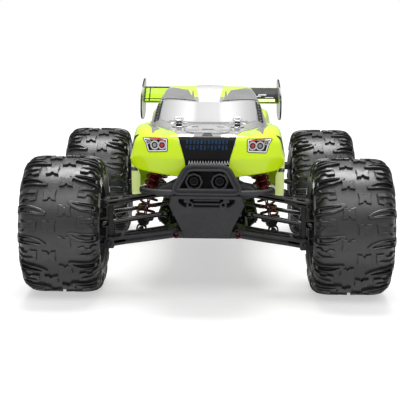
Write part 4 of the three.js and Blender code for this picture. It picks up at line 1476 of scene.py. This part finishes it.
def make_carrier(corner, frame):
    hub = Shape()
    front = corner.startswith("front")
    low, high = (49.2, 101.3)
    jaw = rectangle(102.2, -7.8, 123.8, 7.8)
    hub.add(slab(jaw, 94.5, high, 0.8), frame)
    hub.add(slab(jaw, low, 55, 0.8), frame)
    for (x, z), reach in (((111, 99.4), 7.8), ((106, 57.4), 10.3)):
        hub.add(crossbar(4.9, -reach, reach, x, z), frame)
    if front:
        web = [(-7.8, low), (7.8, low), (10.3, 60), (10.3, 78), (8, 87), (7.8, high), (-7.8, high),
               (-8, 87), (-10.3, 78), (-10.3, 60)]
        hole = rectangle(-6.3, 64.7, 6.3, 85.8)
        hub.add(slab(web, 102.2, 107.8, 0.7, [hole]), frame @ SIDEWAYS)
    else:
        hub.add(axle_block(124.6, 135.9, low, high), frame @ SIDEWAYS)
        bridge = rectangle(KINGPIN_X, -7.8, 130, 7.8)
        for bottom, top in ((94.5, high), (low, 55)):
            hub.add(slab(bridge, bottom, top, 0.6), frame)
    body = ("caster_block_" if front else "hub_carrier_") + corner
    hub.piece("hub_block_" + corner, "black_nylon", body, "black_nylon", 35, [body])
    screws = Shape()
    screws.add(hex_socket_screw(3.2, 1.7), frame @ at(KINGPIN_X, 0, 101.2))
    screws.add(hex_socket_screw(3.2, 1.7), frame @ at(KINGPIN_X, 0, 49.3) @ UPSIDE_DOWN)
    screws.piece("hub_screws_" + corner, "black_steel", body, "black_steel")


KNUCKLE_ARM = [(135.5, 8), (125, 21.5), (115, 31.5), (110.4, 41.4), (107, 42.4), (103.4, 41), (103.2, 34),
               (111.6, 24), (124.6, 8)]


def make_knuckle(corner, frame):
    knuckle = Shape()
    knuckle.add(axle_block(124.6, 135.9, 56, 93.5), frame @ SIDEWAYS)
    knuckle.add(slab(KNUCKLE_ARM, 73.1, 77.4, 0.7, [circle(107, 37.6, 1.6, 12)]), frame)
    for low, high in ((88.1, 93.6), (55.9, 60.9)):
        knuckle.add(rounded_rod(5.4, low, high, 0.5), frame @ at(KINGPIN_X, 0, 0))
        tongue = rectangle(KINGPIN_X, -5.4, 126, 5.4)
        knuckle.add(slab(tongue, low, high, 0.5), frame)
    knuckle.piece("steer_block_" + corner, "black_nylon", "knuckle_" + corner, "black_nylon", 35,
                  ["knuckle_" + corner])
    bearing = Shape()
    bearing.add(turned(rectangle(6.8, 135.6, 9.6, 136.6), 28, True), frame @ at(0, 0, AXLE_Z) @ LAID)
    bearing.add(turned([(0, 77.2), (2.6, 77.2), (2.6, 79.6), (0, 80.2)], 18), frame @ at(107, TIE_Y, 0))
    bearing.piece("steer_bearing_" + corner, "bright_steel", "knuckle_" + corner, "bright_steel")


# ---------------------------------------------------------------- wheels

RIM_BARREL = [(45.5, -37.6), (45.5, 37.6), (48.4, 37.8), (49, 38.4), (49, 39.6), (48.4, 40.2), (44.4, 40.2),
              (43.2, 39.4), (42.2, 34), (41.4, 14), (40.2, 12.4), (40.2, 7.4), (42, 6.6), (43, -39.4),
              (44, -40), (48.4, -40), (49, -39.4), (49, -38.4), (48.4, -37.8)]
SPOKES = 6
# One hole between spokes, as (radius, angle from the hole's middle).
RIM_HOLE = [(18, -0.30), (36.5, -0.36), (37.6, -0.18), (38, 0), (37.6, 0.18), (36.5, 0.36), (18, 0.30),
            (17.2, 0)]
RIM_RIDGE = [(10, 12.2), (10, 17.6), (22, 18.6), (36, 21.5), (40.6, 26), (41.4, 12.2)]


def make_rim(corner, place):
    rim = Shape()
    rim.add(turned(RIM_BARREL, 72, True), place)
    rim.add(turned([(4.5, 3.6), (11.8, 3.6), (12.4, 8), (12.4, 17), (11.4, 18.4), (9.2, 18.4), (9, 13.2),
                    (4.5, 13)], 36, True), place)
    holes = []
    for spoke in range(SPOKES):
        middle = 2 * math.pi * (spoke + 0.5) / SPOKES
        holes.append(rounded_outline([polar(radius, middle + angle) for radius, angle in RIM_HOLE], 1.5, 2))
    rim.add(slab(circle(0, 0, 40.8, 72), 7.6, 12.6, 0.7, holes), place)
    for spoke in range(SPOKES):
        turn = Matrix.Rotation(2 * math.pi * spoke / SPOKES, 4, "Z")
        rim.add(slab(RIM_RIDGE, -2.6, 2.6, 0.9), place @ turn @ FACING)
    for dot in range(24):
        turn = Matrix.Rotation(2 * math.pi * dot / 24, 4, "Z")
        rim.add(turned([(0, 0.9), (0.9, 0.7), (1.3, 0), (1.3, -0.6)], 10), place @ turn @ at(46.6, 0, 40.2))
    rim.piece("rim_star_" + corner, "black_nylon", "wheel_" + corner, "black_nylon", 32, ["rim_" + corner])


def make_axle(corner, place):
    """The stub axle, and the hexagonal hub and nut that hold the wheel on it."""
    axle = Shape()
    axle.add(turned([(0, -29.8), (5.4, -29.8), (5.9, -29), (5.9, -6), (6.4, -5.4), (6.4, 3), (0, 3)], 28),
             place)
    axle.add(turned([(0, 3), (3.9, 3), (3.9, 21.6), (3.4, 22.6), (0, 22.8)], 20), place)
    axle.piece("axle_" + corner, "black_steel", "wheel_" + corner, "black_steel", 40,
               ["stub_axle_" + corner])
    nut = Shape()
    nut.add(slab(circle(0, 0, 9.9, 6), -5, 3.2, 0.6), place)
    nut.add(slab(circle(0, 0, 8.4, 6), 13.2, 19.2, 0.9, [circle(0, 0, 4.2, 20)]), place)
    nut.add(turned(rectangle(4.2, 13.1, 10.4, 14.2), 32, True), place)
    nut.piece("wheel_nut_" + corner, "red_metal", "wheel_" + corner, "red_metal")


def make_corner(corner):
    frame = corner_frame(corner)
    front = corner.startswith("front")
    make_lower_arm(corner, frame)
    make_upper_arm(corner, frame)
    make_drive_shaft(corner, frame)
    if front:
        make_tie_rod(corner, frame)
    shock = shock_frame(frame)
    make_shock_tube(corner, frame, shock)
    make_shock_rod(corner, frame, shock)
    make_spring(corner, shock)
    make_carrier(corner, frame)
    if front:
        make_knuckle(corner, frame)
    wheel = wheel_frame(corner) @ LAID
    make_rim(corner, wheel)
    make_axle(corner, wheel)


# ---------------------------------------------------------------- chassis, drive train and electronics


def end_frame(end):
    """The frame on an axle line whose Y runs towards the middle of the truck."""
    return at(0, end * AXLE_Y, 0) @ Matrix.Diagonal((1, -end, 1, 1))


LOWER_PIN = (33.4, 70)


def facing_slab(outline, back, front, soft, holes=()):
    """A plate drawn in X, Z between two local Y positions."""
    points, faces = slab(outline, -back, -front, soft, holes)
    return [tuple(FACING @ Vector(point)) for point in points], faces


# Plates of a gearbox case: outline, back, front, softness and holes.
GEARBOX_PLATES = [
    (across_middle([(25.8, 64.7), (25.8, 97.5), (18, 105.6)]), 16.8, -25.8, 1.6),
    (across_middle([(21, 67), (21, 95), (15, 102)]), -25.6, -27.2, 0.6, [circle(0, 86, 7, 20)]),
    (circle(0, 86, 9.4, 28), -25.6, -28.6, 0.5, [circle(0, 86, 4.6, 20)]),
    (across_middle([(26.6, 65), (26.6, 97.8), (18.4, 106)]), -10.8, -13.2, 0.4),
    (across_middle([(26.6, 65), (26.6, 97.8), (18.4, 106)]), 7.2, 4.8, 0.4),
    (across_middle([(20, 98), (42.6, 107.3), (42.6, 117.6), (16, 117.6)]), -13.7, -18.8, 0.7,
     [circle(0, 110, 4, 16)]),
    (across_middle([(31.4, 66), (31.4, 73.5)]), -26.2, -30.6, 0.6),
    (across_middle([(31.4, 66), (31.4, 73.5)]), 16.6, 13, 0.6),
]


def make_gearbox_case(name, place):
    case = Shape()
    for plate in GEARBOX_PLATES:
        case.add(facing_slab(*plate), place)
    case.add(rounded_rod(8, 14, 19.8, 0.6, 24), place @ at(0, 0, 83) @ CROSSWISE)
    case.piece(name + "_case", "black_nylon", "chassis", "black_nylon", 32, [name])


# Screws on both sides of a gearbox: radius and height of the head, and its place.
GEARBOX_SCREWS = [(2.5, 1.5, 17.5, -27.1, 70.5), (2.5, 1.5, 17.5, -27.1, 91), (2.3, 1.4, 34, -18.7, 112),
                  (2.3, 1.4, 22, -18.7, 112)]


def make_gearbox_trim(name, place):
    """Output cups and screws in steel, and the bushes of the lower arms' inner pins."""
    steel = Shape()
    for side in (-1, 1):
        steel.add(turned([(5, 25), (7.3, 25), (7.3, 37.4), (6.8, 38), (4.8, 38), (4.6, 30), (5, 26)], 28,
                         True), place @ mirrored(side) @ at(0, 0, 87.6) @ LAID)
        for radius, height, x, y, z in GEARBOX_SCREWS:
            steel.add(hex_socket_screw(radius, height), place @ at(side * x, y, z) @ MINUS_Y)
    steel.piece(name + "_steel", "black_steel", "chassis", "black_steel")
    holders = Shape()
    for side in (-1, 1):
        for back, front in ((-26.3, -30.9), (16.9, 12.9)):
            x, z = side * LOWER_PIN[0], LOWER_PIN[1]
            holders.add(facing_slab(circle(x, z, 3.5, 20), back, front, 0.4, [circle(x, z, 2.6, 14)]),
                        place)
    holders.piece(name + "_pin_bushes", "red_metal", "chassis", "red_metal")


FLOOR = [(22, -167.5), (24, -150), (49.6, -118), (49.6, 118), (24, 150), (20, 191.5), (-20, 191.5),
         (-24, 150), (-49.6, 118), (-49.6, -118), (-24, -150), (-22, -167.5)]
GUARD_RAIL = [(46.5, 61.2), (57.6, 71), (57.6, 76.8), (55.4, 76.8), (54.2, 72), (46.5, 64)]
GUARD_TAIL = [(186.5, 61.2), (198, 61.2), (219.6, 78), (219.6, 83.6), (216.4, 83.6), (197, 64.2),
              (186.5, 64.2)]
FLOOR_SCREWS = [(12, -160), (18, -140), (40, -100), (40, 100), (18, 140), (12, 175), (30, -60), (30, 62),
                (30, 112)]
TOWER_CUT = [(6, 112), (14, 112), (12, 120), (6, 118)]
TOWER = [(42.6, 107), (42.6, 118.6), (31, 124), (34, 138), (57.6, 156), (57.6, 164.6), (40, 168.6),
         (24, 165.6), (12, 150)]


def make_tower(name, place):
    tower = Shape()
    cuts = [circle(side * 19, 130, 6, 24) for side in (-1, 1)]
    cuts += [circle(side * 41, 157, 3.2, 16) for side in (-1, 1)]
    for side in (-1, 1):
        cuts.append(rounded_outline([(side * x, z) for x, z in TOWER_CUT], 1.5, 2))
    tower.add(facing_slab(rounded_outline(across_middle(TOWER), 2.5, 2), 12.3, 8.9, 0.7, cuts), place)
    for side in (-1, 1):
        tower.add(turned([(0, 140), (4.4, 140), (4.4, 146), (3.2, 150), (2.9, 189.6), (2.3, 190.3),
                          (0, 190.3)], 22), place @ at(side * 32, 11.5, 0))
        tower.add(facing_slab(circle(side * SHOCK_TOP.x, SHOCK_TOP.z, 6.2, 24), 13.6, 8.2, 0.6), place)
    tower.piece(name + "_plate", "black_nylon", "chassis", "black_nylon", 32, [name])
    pins = Shape()
    for side in (-1, 1):
        pins.add(crossbar(2.1, 11, 28.3, side * SHOCK_TOP.x, SHOCK_TOP.z), place)
        pins.add(hex_socket_screw(2.9, 1.6), place @ at(side * SHOCK_TOP.x, 28.2, SHOCK_TOP.z) @ CROSSWISE)
        for x, z in ((36, 112.5), (24, 119)):
            pins.add(hex_socket_screw(2.4, 1.5), place @ at(side * x, 8.8, z) @ MINUS_Y)
    pins.piece(name + "_pins", "black_steel", "chassis", "black_steel")


def make_chassis():
    floor = Shape()
    floor.add(slab(rounded_outline(FLOOR, 5, 3), 61, 64.2, 0.7))
    floor.piece("chassis_floor", "black_steel", "chassis", "grey_nylon", 32, ["chassis_plate"])
    guards = Shape()
    for side in (-1, 1):
        guards.add(facing_slab([(side * x, z) for x, z in GUARD_RAIL], 111.6, -111.6, 0.6))
        for step in range(9):
            y = -100 + step * 25
            guards.add(block((side * 52 - 4.5, y - 1.2, 66), (side * 52 + 4.5, y + 1.2, 73), 0.4))
    guards.add(slab(GUARD_TAIL, -27.6, 27.6, 0.8), SIDEWAYS)
    for x in (-18, 0, 18):
        guards.add(slab([(197, 64), (200, 63), (218, 78), (216, 80)], x - 1.2, x + 1.2, 0.4), SIDEWAYS)
    guards.piece("chassis_guards", "grey_nylon", "chassis", "grey_nylon")
    screws = Shape()
    for x, y in FLOOR_SCREWS:
        for side in (-1, 1):
            screws.add(hex_socket_screw(2.6, 0.9), at(side * x, y, 61.1) @ UPSIDE_DOWN)
    screws.piece("chassis_screws", "bright_steel", "chassis", "bright_steel")


def gear_outline(radius, teeth, depth):
    outline = []
    for tooth in range(teeth):
        for share, drop in ((-0.28, depth), (-0.14, 0), (0.14, 0), (0.28, depth)):
            outline.append(polar(radius - drop, 2 * math.pi * (tooth + share) / teeth))
    return outline


SPUR_FRAME = at(0, 0, 83) @ CROSSWISE
MOTOR_FRAME = at(23.5, 0, 91) @ CROSSWISE


def make_spur():
    """The spur gear with the shaft that joins the two gearboxes."""
    spur = Shape()
    place = SPUR_FRAME
    holes = [circle(*polar(11.5, math.pi * hole / 3), 2.6, 14) for hole in range(6)]
    spur.add(slab(gear_outline(18, 48, 1.7), 57.6, 62.4, 0.3, holes), place)
    spur.add(turned([(3, 56.2), (7, 56.2), (7, 64.6), (5.4, 65), (5.4, 68.6), (3, 68.8)], 28, True), place)
    spur.add(turned(rectangle(0, -144.3, 3, 144.3), 20), place)
    for end in (-1, 1):
        spur.add(turned([(3, end * 142.6), (4.4, end * 142.2), (4.4, end * 136), (3, end * 134.6)][::end],
                        20, True), place)
    spur.piece("spur_wheel", "black_steel", "spur_gear", "black_steel", 30, ["spur_gear"])


def make_motor():
    place = MOTOR_FRAME
    pinion = Shape().add(slab(gear_outline(6.4, 17, 1.5), 56.2, 63.8, 0.3), place)
    pinion.piece("pinion_wheel", "brass", "motor_pinion", "brass", 30, ["motor_pinion"])
    motor = Shape()
    can = [(0, 72.2), (15.4, 72.2), (16.4, 73.2), (16.4, 78)]
    for step in range(9):
        y = 80.0 + step * 4.0
        can.extend([(16.4, y), (14.9, y + 0.5), (14.9, y + 1.8), (16.4, y + 2.3)])
    can.extend([(16.4, 122), (15.2, 127.4), (9, 127.9), (0, 127.9)])
    motor.add(turned(can, 40), place)
    motor.add(turned(rectangle(2.4, 66, 6.9, 72.6), 24, True), place)
    motor.add(block((15, 78.5, 64.6), (32, 121.5, 80), 0.8))
    motor.piece("motor_can", "red_metal", "chassis", "black_nylon", 30, ["motor"])
    shaft = Shape().add(turned(rectangle(0, 64.9, 2.3, 68), 16), place)
    shaft.piece("motor_shaft", "bright_steel", "chassis", "bright_steel")
    make_motor_wires()


def make_motor_wires():
    wires = Shape()
    for step in range(3):
        # out of the motor's end, over its top and down to the control box
        path = spline([(15 + 4 * step, 127, 97 - step), (13 + 4 * step, 131, 103),
                       (6 + 3 * step, 126, 107.5), (4 + 4 * step, 100, 108), (10 + 4 * step, 66, 104),
                       (18 + 4 * step, 52, 97), (20 + 4 * step, 47, 90)], 6)
        wires.add(swept(path, 1.5, 10))
    wires.piece("motor_wires", "gloss_black", "chassis", "black_nylon", 60)


def make_battery():
    """The battery pack with its two straps and its leads."""
    pack = Shape()
    pack.add(slab(rounded_outline(rectangle(-44.8, -77.8, -9.2, 49.8), 5, 4), 64.7, 86.8, 2.2))
    pack.piece("battery_wrap", "battery", "chassis", "battery_wrap", 40, ["battery_pack"])
    strap = Shape()
    for y in (-48, 18):
        strap.add(facing_slab([(-46.2, 64.4), (-46.2, 87.9), (-7.8, 87.9), (-7.8, 64.4)], y + 8, y - 8, 0.3,
                              [[(-45, 64.8), (-45, 86.9), (-9, 86.9), (-9, 64.8)]]))
    strap.add(rounded_rod(4, -85.8, -77.4, 0.6), at(-20, 0, 76) @ CROSSWISE)
    strap.piece("battery_straps", "black_nylon", "chassis", "black_nylon")
    leads = Shape()
    for z, x in ((78, -18), (74.4, -22)):
        leads.add(swept(spline([(x, -84, z), (x + 1, -90, z + 1), (x + 10, -95, z + 8),
                                (x + 24, -84, z + 15), (x + 32, -68, z + 12), (x + 38, -59, z + 5)], 6),
                        1.5, 10))
    leads.piece("battery_leads", "red", "chassis", "battery_wrap", 60)


def make_servo():
    servo = Shape()
    servo.add(slab(rounded_outline(rectangle(12.2, -111.8, 31.8, -72.2), 1.5, 2), 64.7, 97.8, 0.9))
    servo.add(slab(rounded_outline(rectangle(12.4, -118.6, 31.6, -65.4), 2, 2), 84.2, 86.8, 0.5,
                   [circle(x, y, 1.7, 12) for x in (16, 28) for y in (-115.2, -68.6)]))
    servo.add(rounded_rod(5, 97, 101, 0.5, 24), at(22, -102, 0))
    servo.piece("servo_case", "black_nylon", "chassis", "black_nylon", 30, ["steering_servo"])


def make_drag_link():
    """The bar that slides across to steer, with the servo's horn."""
    bar = Shape()
    y = -AXLE_Y + TIE_Y
    bar.add(block((-28.8, y - 3.8, 90.3), (28.8, y + 3.8, 95.9), 1.1))
    bar.add(block((17.2, y - 2.8, 95), (26.8, y + 2.8, 101.8), 0.8))
    horn = rectangle(17.2, y - 2.6, 26.8, -107.6)
    bar.add(slab(rounded_outline(horn, 3, 3), 98.6, 101.9, 0.6))
    for side in (-1, 1):
        bar.add(rounded_rod(4.2, 89.2, 96.2, 0.7, 24), at(side * 24.6, y, 0))
    bar.piece("steer_link", "black_nylon", "drag_link", "grey_nylon", 30, ["drag_link"])


FAN = (29.5, 21)
FAN_BLADES = 7


def make_control_box():
    """The receiver and speed controller in one box, with fins and a fan."""
    box = Shape()
    box.add(slab(rounded_outline(rectangle(12.2, -59.8, 44.8, 49.8), 3, 3), 64.7, 83.8, 1.4))
    for step in range(8):
        box.add(block((15, -52 + step * 6, 83.2), (42, -49.6 + step * 6, 85.8), 0.4))
    ring = rounded_outline(rectangle(17.2, 8.2, 41.8, 33.8), 2, 2)
    box.add(slab(ring, 83.4, 91.8, 0.6, [circle(*FAN, 10.8, 28)]))
    for blade in range(FAN_BLADES):
        turn = Matrix.Rotation(2 * math.pi * blade / FAN_BLADES, 4, "Z") @ Matrix.Rotation(0.6, 4, "X")
        box.add(block((2.5, -2.6, -0.4), (9.8, 2.6, 0.4), 0.2), at(*FAN, 87.8) @ turn)
    box.add(rounded_rod(3.4, 85, 90.4, 0.5), at(*FAN, 0))
    box.piece("control_box", "black_nylon", "chassis", "black_nylon", 30, ["receiver_box"])


def make_inside():
    for end, name in ((-1, "front"), (1, "rear")):
        place = end_frame(end)
        make_gearbox_case(name + "_gearbox", place)
        make_gearbox_trim(name + "_gearbox", place)
        make_tower(name + "_shock_tower", place)
    make_chassis()
    make_spur()
    make_motor()
    make_battery()
    make_servo()
    make_drag_link()
    make_control_box()


def main():
    MATERIALS.update(make_materials())
    add_camera()
    light_studio()
    add_floor(MATERIALS["floor"])
    finish_cad_nodes()
    make_tyres()
    make_shell()
    decorate_front()
    pillar_chain()
    decorate_roof()
    decorate_sides()
    make_bumper()
    make_skid()
    make_wing()
    make_posts()
    for corner in CORNERS:
        make_corner(corner)
    make_inside()


main()
